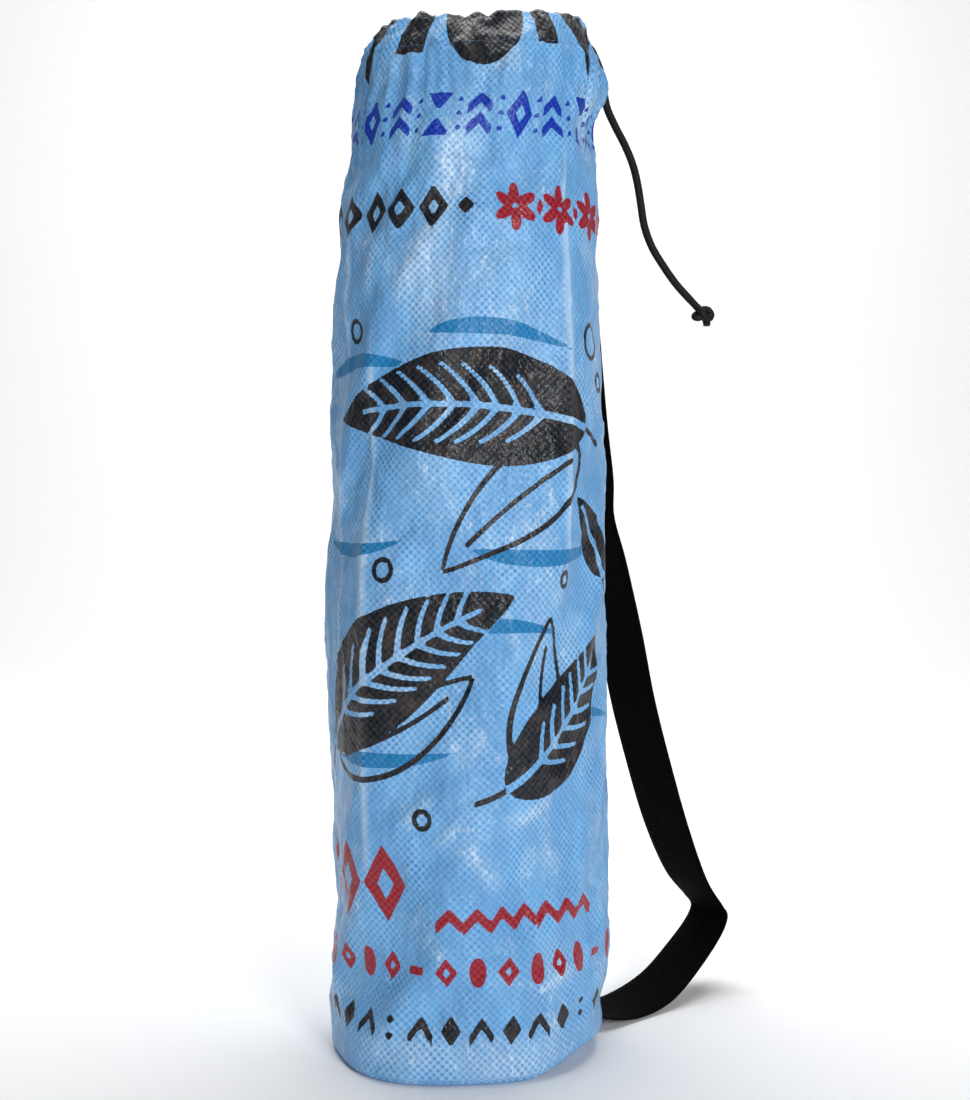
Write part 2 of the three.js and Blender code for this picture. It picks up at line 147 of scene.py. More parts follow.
# The strap's middle line: height, turn past strap_turn, out, face, dip, hug
strap_stations = [
    (0.944, 0, 0.0, 0, 0, 1),
    (0.925, 0, 0.0, 0, 0, 1),
    (0.905, 0, 0.004, 0, 0, 1),
    (0.88, 0, 0.02, 0, 0, 0.6),
    (0.83, -1, 0.05, 0, 0, 0),
    (0.72, -2, 0.075, 0, 0, 0),
    (0.62, -2, 0.115, 2, 0, 0),
    (0.56, -2, 0.145, 4, 0, 0),
    (0.525, -2, 0.145, 5, 0, 0),
    (0.48, -2, 0.205, 8, 0, 0),
    (0.4, -2, 0.3, 12, 0, 0),
    (0.33, -2, 0.375, 14, 0, 0),
    (0.265, -2, 0.47, 14, 0, 0),
    (0.18, -2, 0.615, 12, 0, 0),
    (0.12, -2, 0.75, 6, 2, 0),
    (0.092, -2, 0.855, 0, 2, 0),
    (0.08, -2, 0.895, -2, 2, 0),
    (0.068, -2.5, 0.86, -2, 5, 0),
    (0.039, -5, 0.65, -2, 13, 0),
    (0.017, -8.5, 0.43, -2, 16, 0),
    (0.0084, -12, 0.21, 0, 10, 0),
    (0.0105, -16, 0.04, 0, 10, 0.7),
    (0.012, -17, 0.004, 0, 10, 1),
]

tail_points = [
    [76.2, 26.5, 647.0],
    [80.6, 29.0, 648.4],
    [85.6, 30.0, 640.6],
    [89.4, 30.0, 629.4],
    [90.8, 30.0, 619.5],
    [92.6, 30.0, 609.8],
    [98.1, 30.0, 597.0],
    [104.9, 30.0, 583.7],
    [110.2, 30.0, 570.4],
    [113.3, 30.0, 557.2],
    [115.4, 30.0, 543.9],
    [117.6, 30.0, 530.6],
    [122.3, 30.0, 517.4],
    [130.2, 30.0, 504.1],
    [139.7, 30.0, 490.8],
    [148.2, 30.0, 481.4],
]
knot_middle = [156.6, 30.0, 471.4]
knot_points = [
    [-8.2, 0.0, 9.8],
    [-4.4, -0.8, 5.6],
    [-0.8, -2.4, 1.2],
    [1.8, -1.6, -1.8],
    [4.6, 0.6, -1.4],
    [5.2, 2.2, 1.4],
    [3.2, 2.4, 3.8],
    [0.2, 2.0, 3.9],
    [-2.4, 2.4, 1.6],
    [-4.6, 2.0, 0.4],
    [-5.3, 0.2, -1.0],
    [-3.6, -0.8, -1.6],
    [-0.6, 0.6, -0.6],
    [1.8, 1.6, -2.4],
    [2.4, 0.6, -5.0],
    [2.5, 0.2, -6.6],
]


# The form of the bag

def smoothstep(value, low, high):
    share = np.clip((value - low) / (high - low), 0.0, 1.0)
    return share * share * (3 - 2 * share)


def blend(low, high, share):
    return low + (high - low) * share


def through(knots, values, places):
    """A smooth line through values at knots, read at places."""
    knots = np.asarray(knots, float)
    values = np.asarray(values, float)
    slopes = np.gradient(values, knots)
    index = np.clip(np.searchsorted(knots, places, side="right") - 1, 0, len(knots) - 2)
    span = knots[index + 1] - knots[index]
    t = np.clip((places - knots[index]) / span, 0.0, 1.0)
    start = (2 * t**3 - 3 * t**2 + 1) * values[index] + (t**3 - 2 * t**2 + t) * span * slopes[index]
    end = (3 * t**2 - 2 * t**3) * values[index + 1] + (t**3 - t**2) * span * slopes[index + 1]
    return start + end


def read(column, height):
    return through(sections["height"], sections[column], height)


def turn_between(start, end):
    return (end - start + 180) % 360 - 180


def foot_lift_at(turn):
    turn = np.mod(turn, 360)
    start, full, fall, end = lift_turns
    return foot_lift * smoothstep(turn, start, full) * (1 - smoothstep(turn, fall, end))


def gather_size(turn):
    a = np.radians(turn)
    uneven = 0.72 + 0.2 * np.sin(3 * a + 1) + 0.2 * np.sin(7 * a) + 0.12 * np.sin(13 * a + 2)
    return uneven * smoothstep(np.abs(turn_between(strap_turn, turn)), pressed_turn, free_turn)


def gather_wave(turn):
    """The gathers round the mouth: round on top, tight between two."""
    a = np.radians(turn)
    wander = 0.8 * np.sin(3 * a + 0.6) + 0.7 * np.sin(5 * a + 2.1) + 0.5 * np.sin(11 * a)
    return (0.5 + 0.5 * np.cos(gathers * a + wander)) ** 0.8


def mouth_height(turn):
    side = np.sin(np.radians(turn))
    return bag_height + mouth_rise * side**2 + mouth_right_rise * side


def plain_tube(turn, height):
    """The tube without its gathers, as points at turns and shares of the height."""
    turn, height = np.broadcast_arrays(np.asarray(turn, float), np.asarray(height, float))
    a = np.radians(turn)
    last = sections["height"][-1]
    wide = read("wide", height) * bag_radius
    deep = read("deep", height) * bag_radius
    shift = read("shift", height) * bag_radius
    share = np.clip((height - last) / (1 - last), 0, 1)
    wide = blend(wide, mouth_half_width, share**width_delay)
    deep = blend(deep, mouth_half_depth, share**depth_delay)
    shift = blend(shift, mouth_shift, share)
    corner = 2 + mouth_square * share
    low = np.clip(height / sections["height"][1], 0, 1)
    wide = blend(np.full_like(wide, foot_radius), wide, low)
    deep = blend(np.full_like(deep, foot_radius), deep, low)
    x, y = np.sin(a), -np.cos(a)
    k = (np.abs(x) ** corner + np.abs(y) ** corner) ** (-1 / corner)
    out = np.zeros_like(wide)
    for fold_turn, fold_height, half_turn, half_height, fold_out, sharp in folds:
        across = np.clip(np.abs(turn_between(fold_turn, turn)) / half_turn, 0, 1)
        along = np.clip(np.abs(height - fold_height) / half_height, 0, 1)
        bell = np.cos(across * np.pi / 2) ** 2
        edge = (1 - across) ** 2
        fade = np.cos(along * np.pi / 2) ** 2
        out = out + fold_out * bag_radius * fade * blend(bell, edge, sharp)
    raised = smoothstep(height, rise_start, seam_height)
    lifted = np.clip(1 - height * bag_height / foot_lift_reach, 0, None)
    z = height * bag_height + raised * (mouth_height(turn) - bag_height) + lifted * foot_lift_at(turn)
    return np.stack([shift + wide * x * k + out * x, deep * y * k + out * y, z], -1)


def unit(vectors):
    return vectors / np.linalg.norm(vectors, axis=-1, keepdims=True)


def outward(turn, height):
    """The level direction out of the tube."""
    along = plain_tube(turn + 1, height) - plain_tube(turn - 1, height)
    return unit(np.stack([along[..., 1], -along[..., 0], np.zeros_like(along[..., 0])], -1))


def square_out(turn, height):
    """The direction square to the cloth, out of the tube."""
    reach = 2 / bag_height
    around = plain_tube(turn + 1, height) - plain_tube(turn - 1, height)
    above = np.minimum(height + reach, 1)
    along = plain_tube(turn, above) - plain_tube(turn, above - 2 * reach)
    return unit(np.cross(around, along))


def gather_step(turn, height):
    last = sections["height"][-1]
    more = np.clip((height - last) / (1 - last), 0, 1)
    depth = gather_depth * blend(read("gather", height), mouth_gather, more)
    return depth * gather_size(turn) * gather_wave(turn)


def wall(turn, height):
    """The middle of the cloth with its gathers, without its crumple."""
    place = plain_tube(turn, height)
    return place + outward(turn, height) * gather_step(turn, height)[..., None]


# The finer relief of the cloth

def noise_at(points, size, seed):
    """Smooth noise from -1 to 1, at points in mm, with features of the given sizes."""
    scale = np.array([1 / size[0], 1 / size[0], 1 / size[1]])
    places = points.reshape(-1, 3) * scale + seed * 17.3
    values = np.fromiter((noise.noise(Vector(p)) for p in places), float, len(places))
    return values.reshape(points.shape[:-1])


# Narrow pressed creases: turn, lowest and highest share of the height, ridge in mm
creases = [
    (43.64, 0.44, 0.9, 0.9),
    (-40.9, 0.16, 0.72, 0.8),
    (-61.4, 0.3, 0.86, 0.7),
    (137.7, 0.2, 0.86, 0.8),
    (222.3, 0.16, 0.82, 0.8),
]
crease_width = 1.9

# Dents: turn, share of the height, length and width in mm, lean in degrees, rise in mm, painted glare
# along the ridge
dents = [
    (-9, 0.845, 58, 9, 5, 1.6, 0.75),
    (-20, 0.767, 66, 7, 26, 2.2, 0.9),
    (-44, 0.76, 44, 5, 8, 1.2, 0.5),
    (31, 0.575, 74, 3, 0, -1.2, 0.1),
    (35, 0.54, 24, 3, -25, 1.2, 0.5),
    (-19, 0.252, 34, 4, 50, 1.5, 0.6),
    (-5, 0.236, 32, 4, 40, 1.3, 0.5),
    (27, 0.25, 42, 6, 68, 1.7, 0.75),
    (5, 0.205, 44, 7, -40, 1.6, 0.5),
    (40, 0.314, 26, 4, 20, 1.3, 0.6),
    (38, 0.092, 36, 5, 74, 1.8, 0.8),
    (24, 0.085, 28, 4, 4, -1.4, 0.1),
    (18, 0.42, 48, 4, -17, 1.3, 0.5),
    (70, 0.9, 34, 5, -14, 1.5, 0.8),
    (58, 0.905, 30, 4, -8, 1.4, 0.7),
    (-30, 0.9, 30, 6, 24, 1.4, 0.4),
    (14, 0.66, 60, 8, -12, 1.2, 0.4),
]
more_dents = 26

# Painted glare spots: turn, share of the height, half width and half height in mm, strength of the painted
# glare
glare_patches = [
    (-14, 0.74, 20, 44, 0.62),
    (-4, 0.86, 16, 34, 0.5),
    (10, 0.95, 14, 12, 0.6),
    (22, 0.7, 30, 50, 0.3),
    (-26, 0.39, 24, 52, 0.5),
    (-14, 0.56, 20, 30, 0.3),
    (30, 0.42, 12, 40, 0.35),
    (12, 0.24, 34, 24, 0.08),
    (18, 0.02, 44, 16, 0.7),
    (-24, 0.03, 36, 14, 0.5),
    (40, 0.1, 20, 16, 0.4),
    (64, 0.9, 14, 26, 0.6),
    (150, 0.7, 26, 60, 0.4),
    (190, 0.4, 30, 50, 0.45),
    (215, 0.75, 22, 40, 0.45),
    (250, 0.55, 24, 50, 0.4),
    (110, 0.45, 20, 50, 0.4),
]


def all_dents():
    """The named dents of the front, and others that lie where the front doesn't show."""
    chance = random.Random(7)
    made = list(dents)
    for _ in range(more_dents):
        turn = chance.uniform(75, 290)
        place = chance.uniform(0.08, 0.88)
        length, width = chance.uniform(24, 62), chance.uniform(3, 7)
        lean, rise = chance.uniform(-60, 60), chance.uniform(1.0, 2.0)
        # The last value is the strength of the painted glare along the dent's ridge
        made.append((turn, place, length, width, lean, rise, chance.uniform(0.3, 0.8)))
    return made


def crease_at(turn, height):
    """How much of a pressed crease lies at a place, from 0 to 1."""
    total = np.zeros(np.broadcast(turn, height).shape)
    for crease_turn, low, high, size in creases:
        bend = 0.35 * np.sin(height * 31 + crease_turn)
        aside = np.radians(turn_between(crease_turn + bend, turn)) * bag_radius
        fade = smoothstep(height, low, low + 0.08) * (1 - smoothstep(height, high - 0.08, high))
        total = np.maximum(total, size * np.exp(-((aside / crease_width) ** 2)) * fade)
    return total


def dent_at(turn, height):
    """The rise of the dents at a place, in mm, and the painted glare on their ridges and on the glare
    spots.
    """
    rise = np.zeros(np.broadcast(turn, height).shape)
    glare_paint = np.zeros_like(rise)
    for dent_turn, place, length, width, lean, size, glare_strength in all_dents():
        u = np.radians(turn_between(dent_turn, turn)) * bag_radius
        v = (height - place) * bag_height
        c, s = math.cos(math.radians(lean)), math.sin(math.radians(lean))
        across = u * c - v * s + 0.0009 * (u * s + v * c) ** 2
        along = u * s + v * c
        fade = np.clip(1 - (2 * along / length) ** 2, 0, 1)
        edge = np.exp(-((across / width) ** 2))
        trough = np.exp(-(((across - 2.2 * width) / (2 * width)) ** 2))
        rise += size * fade * (edge - 0.6 * trough)
        glare_paint = np.maximum(glare_paint, glare_strength * fade * np.exp(-((across / width / 0.8) ** 2)))
    for patch_turn, place, half_wide, half_high, glare_strength in glare_patches:
        u = np.radians(turn_between(patch_turn, turn)) * bag_radius / half_wide
        v = (height - place) * bag_height / half_high
        glare_paint = glare_paint + glare_strength * np.exp(-1.2 * (u * u + v * v)) * (1 - glare_paint)
    return rise, glare_paint


def crumple(turn, height, points, buckles):
    """The relief that the stiff cloth keeps, as a step along its normal."""
    soft = noise_at(points, (38, 80), 1) * 1.1
    ridges = (1 - np.minimum(np.abs(noise_at(points, (24, 50), 2)) * 5, 1)) ** 2 * 0.9
    fine = (1 - np.minimum(np.abs(noise_at(points, (12, 18), 3)) * 4, 1)) ** 2 * 0.4
    neck = smoothstep(height, 0.78, 0.95)
    pleats = (1 - np.minimum(np.abs(noise_at(points, (13, 70), 4)) * 4, 1)) ** 2 * 2.2 * neck
    pleats += noise_at(points, (16, 90), 6) * 2.0 * neck
    calm = smoothstep(height, 0.01, 0.06)
    aside = np.abs(turn_between(strap_turn, turn))
    seam_side = np.where(height > 0.86, smoothstep(aside, 8, 20), 1.0)
    wide = 1 - 0.6 * smoothstep(height, 0.8, 0.95)
    relief = (soft + buckles.at(turn, height)) * wide
    relief = relief + ridges + fine + pleats + dent_at(turn, height)[0] - 0.4
    from_lap = np.radians(aside) * bag_radius
    lap = lap_height * (1 - smoothstep(from_lap, lap_half - 1.2, lap_half + 1.2))
    lap *= 1 - smoothstep(height, 0.84, 0.87)
    return (relief * seam_side + crease_at(turn, height) + lap) * calm


def turned_by(points, a):
    """Points turned round Z by an angle for each."""
    made = points.copy()
    made[..., 0] = points[..., 0] * np.cos(a) - points[..., 1] * np.sin(a)
    made[..., 1] = points[..., 0] * np.sin(a) + points[..., 1] * np.cos(a)
    return made


class Buckles:
    """The dents that the tube takes when it is pressed down and twisted a little, by simulation."""

    columns = 132
    rows = 118
    press, twist = 9.0, 5.0
    frames = 26
    limit = 5.0

    def __init__(self):
        turn = np.arange(self.columns) * 360 / self.columns
        self.heights = np.linspace(foot_round / bag_height, seam_height, self.rows)
        grid_turn, grid_height = np.meshgrid(turn, self.heights)
        rest = wall(grid_turn, grid_height)
        normal = square_out(grid_turn, grid_height)
        start = rest + normal * (noise_at(rest, (26, 44), 9) * 0.8)[..., None]
        share = (grid_height - self.heights[0]) / (self.heights[-1] - self.heights[0])
        a = np.radians(self.twist) * share
        pressed = turned_by(start, a)
        pressed[..., 2] -= self.press * share
        settled = self.simulate(start, pressed)
        steps = np.sum((settled - pressed) * turned_by(normal, a), -1)
        steps -= steps.mean(1, keepdims=True)
        fade = smoothstep(share, 0, 0.04) * (1 - smoothstep(share, 0.94, 1))
        self.steps = self.limit * np.tanh(steps / self.limit) * fade

    def simulate(self, start, pressed):
        """Blender's cloth, held by its two edges while they close in."""
        faces = grid_faces(self.rows, self.columns)
        trial = mesh_object("press_trial", start.reshape(-1, 3), faces, None)
        held = trial.vertex_groups.new(name="held")
        count = self.rows * self.columns
        edges = list(range(2 * self.columns)) + list(range(count - 2 * self.columns, count))
        held.add(edges, 1.0, "REPLACE")
        trial.shape_key_add(name="start")
        key = trial.shape_key_add(name="pressed")
        key.data.foreach_set("co", (pressed * MM).ravel())
        scene = bpy.context.scene
        key.value = 0.0
        key.keyframe_insert("value", frame=1)
        key.value = 1.0
        key.keyframe_insert("value", frame=self.frames - 6)
        cloth = trial.modifiers.new("cloth", "CLOTH")
        settings = cloth.settings
        settings.quality = 6
        settings.mass = 0.2
        settings.tension_stiffness = settings.compression_stiffness = 60
        settings.shear_stiffness = 30
        settings.bending_stiffness = 6
        settings.vertex_group_mass = "held"
        settings.use_pressure = True
        settings.uniform_pressure_force = 1.2
        settings.effector_weights.gravity = 0
        cloth.point_cache.frame_start = 1
        cloth.point_cache.frame_end = self.frames
        for frame_number in range(1, self.frames + 1):
            scene.frame_set(frame_number)
        shape = trial.evaluated_get(bpy.context.evaluated_depsgraph_get()).data
        places = np.empty(count * 3)
        shape.vertices.foreach_get("co", places)
        scene.frame_set(1)
        mesh = trial.data
        bpy.data.objects.remove(trial)
        bpy.data.meshes.remove(mesh)
        return places.reshape(start.shape) / MM

    def at(self, turn, height):
        """The step out of the tube at a place, between the points of the simulated mesh."""
        turn, height = np.broadcast_arrays(np.asarray(turn, float), np.asarray(height, float))
        across = np.mod(turn, 360) / 360 * self.columns
        share = (height - self.heights[0]) / (self.heights[-1] - self.heights[0])
        along = np.clip(share, 0, 1) * (self.rows - 1)
        j = np.floor(across).astype(int)
        i = np.minimum(np.floor(along).astype(int), self.rows - 2)
        near, far = j % self.columns, (j + 1) % self.columns
        low = blend(self.steps[i, near], self.steps[i, far], across - j)
        high = blend(self.steps[i + 1, near], self.steps[i + 1, far], across - j)
        return blend(low, high, along - i)


def face_point(turn, height, buckles, out):
    """Points out from the middle of the cloth, the way out there and the step of the crumple."""
    point = wall(turn, height)
    normal = square_out(turn, height)
    step = crumple(turn, height, point, buckles)
    return point + normal * (step + out)[..., None], normal, step


def grid_faces(rows, around, base=0, closed=True, turned=False, skip=()):
    """Quads over rows of points, closed round or open, without the cells in skip."""
    faces = []
    for i in range(rows - 1):
        for j in range(around if closed else around - 1):
            if (i, j) in skip:
                continue
            a, b = base + i * around + j, base + i * around + (j + 1) % around
            quad = (a, b, b + around, a + around)
            faces.append(quad[::-1] if turned else quad)
    return faces


def mesh_object(name, points, faces, material, uvs=None, attributes=None):
    """A mesh piece from points in mm."""
    mesh = bpy.data.meshes.new(name)
    mesh.from_pydata((np.asarray(points) * MM).tolist(), [], faces)
    if uvs is not None:
        layer = mesh.uv_layers.new(name="sheet")
        corners = np.empty(len(mesh.loops), int)
        mesh.loops.foreach_get("vertex_index", corners)
        layer.data.foreach_set("uv", np.asarray(uvs)[corners].ravel())
    for key, values in (attributes or {}).items():
        attribute = mesh.attributes.new(key, "FLOAT", "POINT")
        attribute.data.foreach_set("value", np.asarray(values, float))
    mesh.polygons.foreach_set("use_smooth", [True] * len(mesh.polygons))
    mesh.materials.append(material)
    mesh.update()
    piece = bpy.data.objects.new(name, mesh)
    bpy.context.scene.collection.objects.link(piece)
    return piece


# The materials

def srgb(red, green, blue):
    """A colour from 0 to 255 as the linear colour that a shader takes."""
    def linear(value):
        value /= 255
        return value / 12.92 if value <= 0.04045 else ((value + 0.055) / 1.055) ** 2.4
    return (linear(red), linear(green), linear(blue), 1.0)


class Nodes:
    """Short names for the nodes of one material."""

    def __init__(self, name):
        self.material = bpy.data.materials.new(name)
        self.material.use_nodes = True
        self.tree = self.material.node_tree
        self.shader = self.tree.nodes["Principled BSDF"]

    def put(self, socket, value):
        if isinstance(value, bpy.types.NodeSocket):
            self.tree.links.new(value, socket)
        elif value is not None:
            socket.default_value = value

    def math(self, operation, a, b=None, clamp=False):
        """A sum, product or other operation on numbers or sockets."""
        node = self.tree.nodes.new("ShaderNodeMath")
        node.operation = operation
        node.use_clamp = clamp
        self.put(node.inputs[0], a)
        self.put(node.inputs[1], b)
        return node.outputs[0]

    def times(self, a, b, clamp=False):
        return self.math("MULTIPLY", a, b, clamp)

    def plus(self, a, b):
        return self.math("ADD", a, b)

    def minus(self, a, b):
        return self.math("SUBTRACT", a, b)

    def mix(self, share, low, high):
        node = self.tree.nodes.new("ShaderNodeMix")
        node.data_type = "RGBA"
        self.put(node.inputs["Factor"], share)
        self.put(node.inputs[6], low)
        self.put(node.inputs[7], high)
        return node.outputs[2]

    def ramp(self, value, low, high, to_low=0.0, to_high=1.0):
        node = self.tree.nodes.new("ShaderNodeMapRange")
        node.interpolation_type = "SMOOTHSTEP"
        self.put(node.inputs["Value"], value)
        node.inputs["From Min"].default_value = low
        node.inputs["From Max"].default_value = high
        node.inputs["To Min"].default_value = to_low
        node.inputs["To Max"].default_value = to_high
        return node.outputs["Result"]

    def noise(self, vector, scale, detail=2.0, rough=0.5):
        node = self.tree.nodes.new("ShaderNodeTexNoise")
        self.put(node.inputs["Vector"], vector)
        node.inputs["Scale"].default_value = scale
        node.inputs["Detail"].default_value = detail
        node.inputs["Roughness"].default_value = rough
        return node.outputs["Fac"]

    def cloud(self, sheet, scale, detail, rough=0.5, turned=0.0):
        """Noise over the sheet with its own scale across and along, turned by some degrees."""
        node = self.tree.nodes.new("ShaderNodeMapping")
        self.put(node.inputs["Vector"], sheet)
        node.inputs["Scale"].default_value = (*scale, 1)
        node.inputs["Rotation"].default_value = (0.0, 0.0, math.radians(turned))
        return self.noise(node.outputs["Vector"], 1.0, detail, rough)

    def uv(self):
        node = self.tree.nodes.new("ShaderNodeUVMap")
        node.uv_map = "sheet"
        return node.outputs["UV"]

    def split(self, vector):
        node = self.tree.nodes.new("ShaderNodeSeparateXYZ")
        self.put(node.inputs[0], vector)
        return node.outputs["X"], node.outputs["Y"]

    def attribute(self, name):
        node = self.tree.nodes.new("ShaderNodeAttribute")
        node.attribute_name = name
        return node.outputs["Fac"]

    def place(self):
        return self.tree.nodes.new("ShaderNodeTexCoord").outputs["Object"]

    def wave(self, value, pitch):
        """A sine of a length in mm, with the given pitch."""
        return self.math("SINE", self.times(value, 2 * math.pi / pitch))

    def bump(self, height, distance, strength, under=None):
        node = self.tree.nodes.new("ShaderNodeBump")
        self.put(node.inputs["Height"], height)
        node.inputs["Distance"].default_value = distance * MM
        node.inputs["Strength"].default_value = strength
        self.put(node.inputs["Normal"], under)
        return node.outputs["Normal"]

    def finish(self, colour, roughness, specular, normal=None):
        """Sets the shader, and gives the material."""
        sockets = self.shader.inputs
        self.put(sockets["Base Color"], colour)
        self.put(sockets["Roughness"], roughness)
        self.put(sockets["Specular IOR Level"], specular)
        self.put(sockets["Normal"], normal)
        return self.material


weave_pitch = 4.6
cloth_light = srgb(124, 190, 242)
cloth_deep = srgb(74, 138, 202)
cloth_dull = srgb(94, 155, 212)
# The pale colour serves fine pale specks in the film, the painted glare of the lamps and the painted
# highlights along the creases
cloth_pale_and_glare = srgb(206, 230, 250)
# Painted highlight colour for thin bright crinkle lines
cloth_highlight = srgb(232, 243, 253)
inks = [
    ("ink_wave", srgb(16, 122, 182), 0.25),
    ("ink_blue", srgb(8, 46, 170), 0.12),
    ("ink_red", srgb(156, 10, 20), 0.1),
    ("ink_black", srgb(9, 9, 12), 0.05),
]


def sack_cloth(name, printed):
    """Woven tapes under a clear film, with the print in inks on its outer face, and painted glare, glints
    and highlights in its colour.
    """
    n = Nodes(name)
    sheet = n.uv()
    across, along = n.split(sheet)
    wander = n.times(n.cloud(sheet, (0.05, 0.05), 2), 3.0)
    across = n.plus(across, wander)
    along = n.plus(along, wander)
    checker = n.times(n.wave(across, weave_pitch), n.wave(along, weave_pitch))
    cells = n.ramp(checker, -0.25, 0.5)
    depth = n.ramp(n.cloud(sheet, (0.05, 0.03), 3, 0.6), 0.3, 0.7, 0.4, 1.0)
    cloth = n.mix(n.times(cells, depth), cloth_light, cloth_deep)
    dull = n.ramp(n.cloud(sheet, (0.04, 0.018), 4, 0.62), 0.42, 0.62, 0.6, 0.0)
    cloth = n.mix(dull, cloth, cloth_dull)
    # Painted glare: soft cloudy areas lightened as if the lamps shone off the film
    glare_clouds = n.cloud(sheet, (0.026, 0.017), 4, 0.6, -24)
    rough = n.cloud(sheet, (0.3, 0.16), 4, 0.7, -16)
    glare_paint = n.ramp(n.plus(glare_clouds, n.times(rough, 0.3)), 0.62, 0.9, 0.0, 0.5)
    # On the printed face more painted glare, along the dents' ridges and in the listed glare spots, broken
    # up by noise
    if printed:
        patchy = n.ramp(rough, 0.25, 0.7, 0.45, 1.25)
        glare_paint = n.math("MAXIMUM", glare_paint, n.times(n.attribute("wear_and_glare"), patchy))
    # Painted glints: within the painted glare the raised tape crossings turn paler than the hollows
    crown_glints = n.minus(1.0, n.times(cells, 0.72))
    cloth = n.mix(n.times(n.times(glare_paint, crown_glints), 0.9, True), cloth, cloth_pale_and_glare)
    # Painted highlights: thin bright crinkle lines, mostly where the painted glare is
    bends = n.cloud(sheet, (0.07, 0.03), 3, 0.6, -14)
    lines = n.ramp(n.math("ABSOLUTE", n.minus(bends, 0.5)), 0.0, 0.014, 1.0, 0.0)
    lines = n.times(lines, n.ramp(rough, 0.42, 0.6, 0.0, 0.7))
    lines = n.times(lines, n.ramp(glare_paint, 0.05, 0.35, 0.15, 1.0))
    cloth = n.mix(lines, cloth, cloth_highlight)
    grain = n.ramp(n.cloud(sheet, (1.1, 0.7), 3, 0.7), 0.5, 0.8, 0.0, 0.3)
    cloth = n.mix(grain, cloth, cloth_pale_and_glare)
    # Painted highlight along the pressed creases
    if printed:
        cloth = n.mix(n.times(n.attribute("crease"), 0.75), cloth, cloth_pale_and_glare)
    colour = cloth
    if printed:
        fray = n.minus(n.cloud(sheet, (0.9, 0.9), 2), 0.5)
        fray = n.plus(n.times(fray, 0.5), n.times(checker, 0.1))
        wear_and_glare = n.ramp(n.cloud(sheet, (0.03, 0.022), 2), 0.56, 0.66)
        specks = n.ramp(n.cloud(sheet, (0.75, 0.75), 3, 0.7), 0.5, 0.56)
        rubbed = n.times(wear_and_glare, specks)
        mottle = n.ramp(n.cloud(sheet, (0.08, 0.05), 6, 0.8), 0.44, 0.7)
        for key, ink, thin in inks:
            edge = n.plus(n.attribute(key), fray)
            share = n.ramp(edge, -0.2, 0.2)
            share = n.times(share, n.minus(1.0, n.times(cells, thin)))
            if key == "ink_blue":
                share = n.times(share, n.minus(1.0, n.times(rubbed, 0.7)))
            if key == "ink_black":
                ink = n.mix(n.times(mottle, 0.75), ink, srgb(80, 64, 56))
                # Painted highlight along the creases on the black ink too
                ink = n.mix(n.times(n.attribute("crease"), 0.35), ink, srgb(96, 92, 96))
            colour = n.mix(share, colour, ink)
    n.shader.inputs["Coat Weight"].default_value = 0.35
    n.shader.inputs["Coat Roughness"].default_value = 0.22
    crinkle = n.cloud(sheet, (0.06, 0.035), 5, 0.62)
    normal = n.bump(crinkle, 6.0, 0.6)
    normal = n.bump(checker, 0.14, 0.8, normal)
    n.put(n.shader.inputs["Coat Normal"], normal)
    return n.finish(colour, 0.5, 0.18, normal)


def webbing():
    """Black webbing: ribs across, fine yarns along."""
    n = Nodes("strap_webbing")
    across, along = n.split(n.uv())
    ribs = n.wave(along, 1.7)
    yarns = n.wave(across, 1.15)
    weave = n.plus(ribs, n.times(yarns, 0.5))
    fuzz = n.noise(n.place(), 900.0, 3)
    tone = n.plus(n.times(weave, 0.2), n.times(fuzz, 0.6))
    colour = n.mix(n.ramp(tone, -0.1, 0.8), srgb(1, 1, 1), srgb(8, 8, 9))
    return n.finish(colour, 0.85, 0.06, n.bump(fuzz, 0.2, 0.3, n.bump(weave, 0.25, 0.8)))


def cord_yarn():
    """Black braided polyester: fine yarns over the braid of the mesh."""
    n = Nodes("cord_yarn")
    fuzz = n.noise(n.place(), 1400.0, 3)
    colour = n.mix(n.ramp(fuzz, 0.3, 0.7), srgb(4, 4, 5), srgb(17, 17, 19))
    return n.finish(colour, 0.65, 0.3, n.bump(fuzz, 0.15, 0.4))


def thread(name, colour):
    """Sewing thread with a little twist."""
    n = Nodes(name)
    twist = n.noise(n.place(), 2500.0, 1)
    colour = n.mix(n.ramp(twist, 0.3, 0.7, 0, 0.4), colour, srgb(90, 110, 140))
    return n.finish(colour, 0.6, 0.5, n.bump(twist, 0.1, 0.4))


# The print: every shape is a closed outline in mm on the flat sheet, u round the tube from the front
# and v up from the foot. Each ink is kept as the distance inside its nearest outline.

girth = 2 * math.pi * bag_radius


def distance_inside(outline, u, v):
    """The distance from points to a closed outline, positive inside it."""
    outline = np.asarray(outline, float)
    nearest = np.full(u.shape, 1e9)
    inside = np.zeros(u.shape, bool)
    for (au, av), (bu, bv) in zip(outline, np.roll(outline, -1, 0)):
        du, dv = bu - au, bv - av
        length = du * du + dv * dv
        if length < 1e-9:
            continue
        share = np.clip(((u - au) * du + (v - av) * dv) / length, 0, 1)
        nearest = np.minimum(nearest, np.hypot(u - au - share * du, v - av - share * dv))
        if av != bv:
            crosses = (av > v) != (bv > v)
            inside ^= crosses & (u < (bu - au) * (v - av) / (bv - av) + au)
    return np.where(inside, nearest, -nearest)


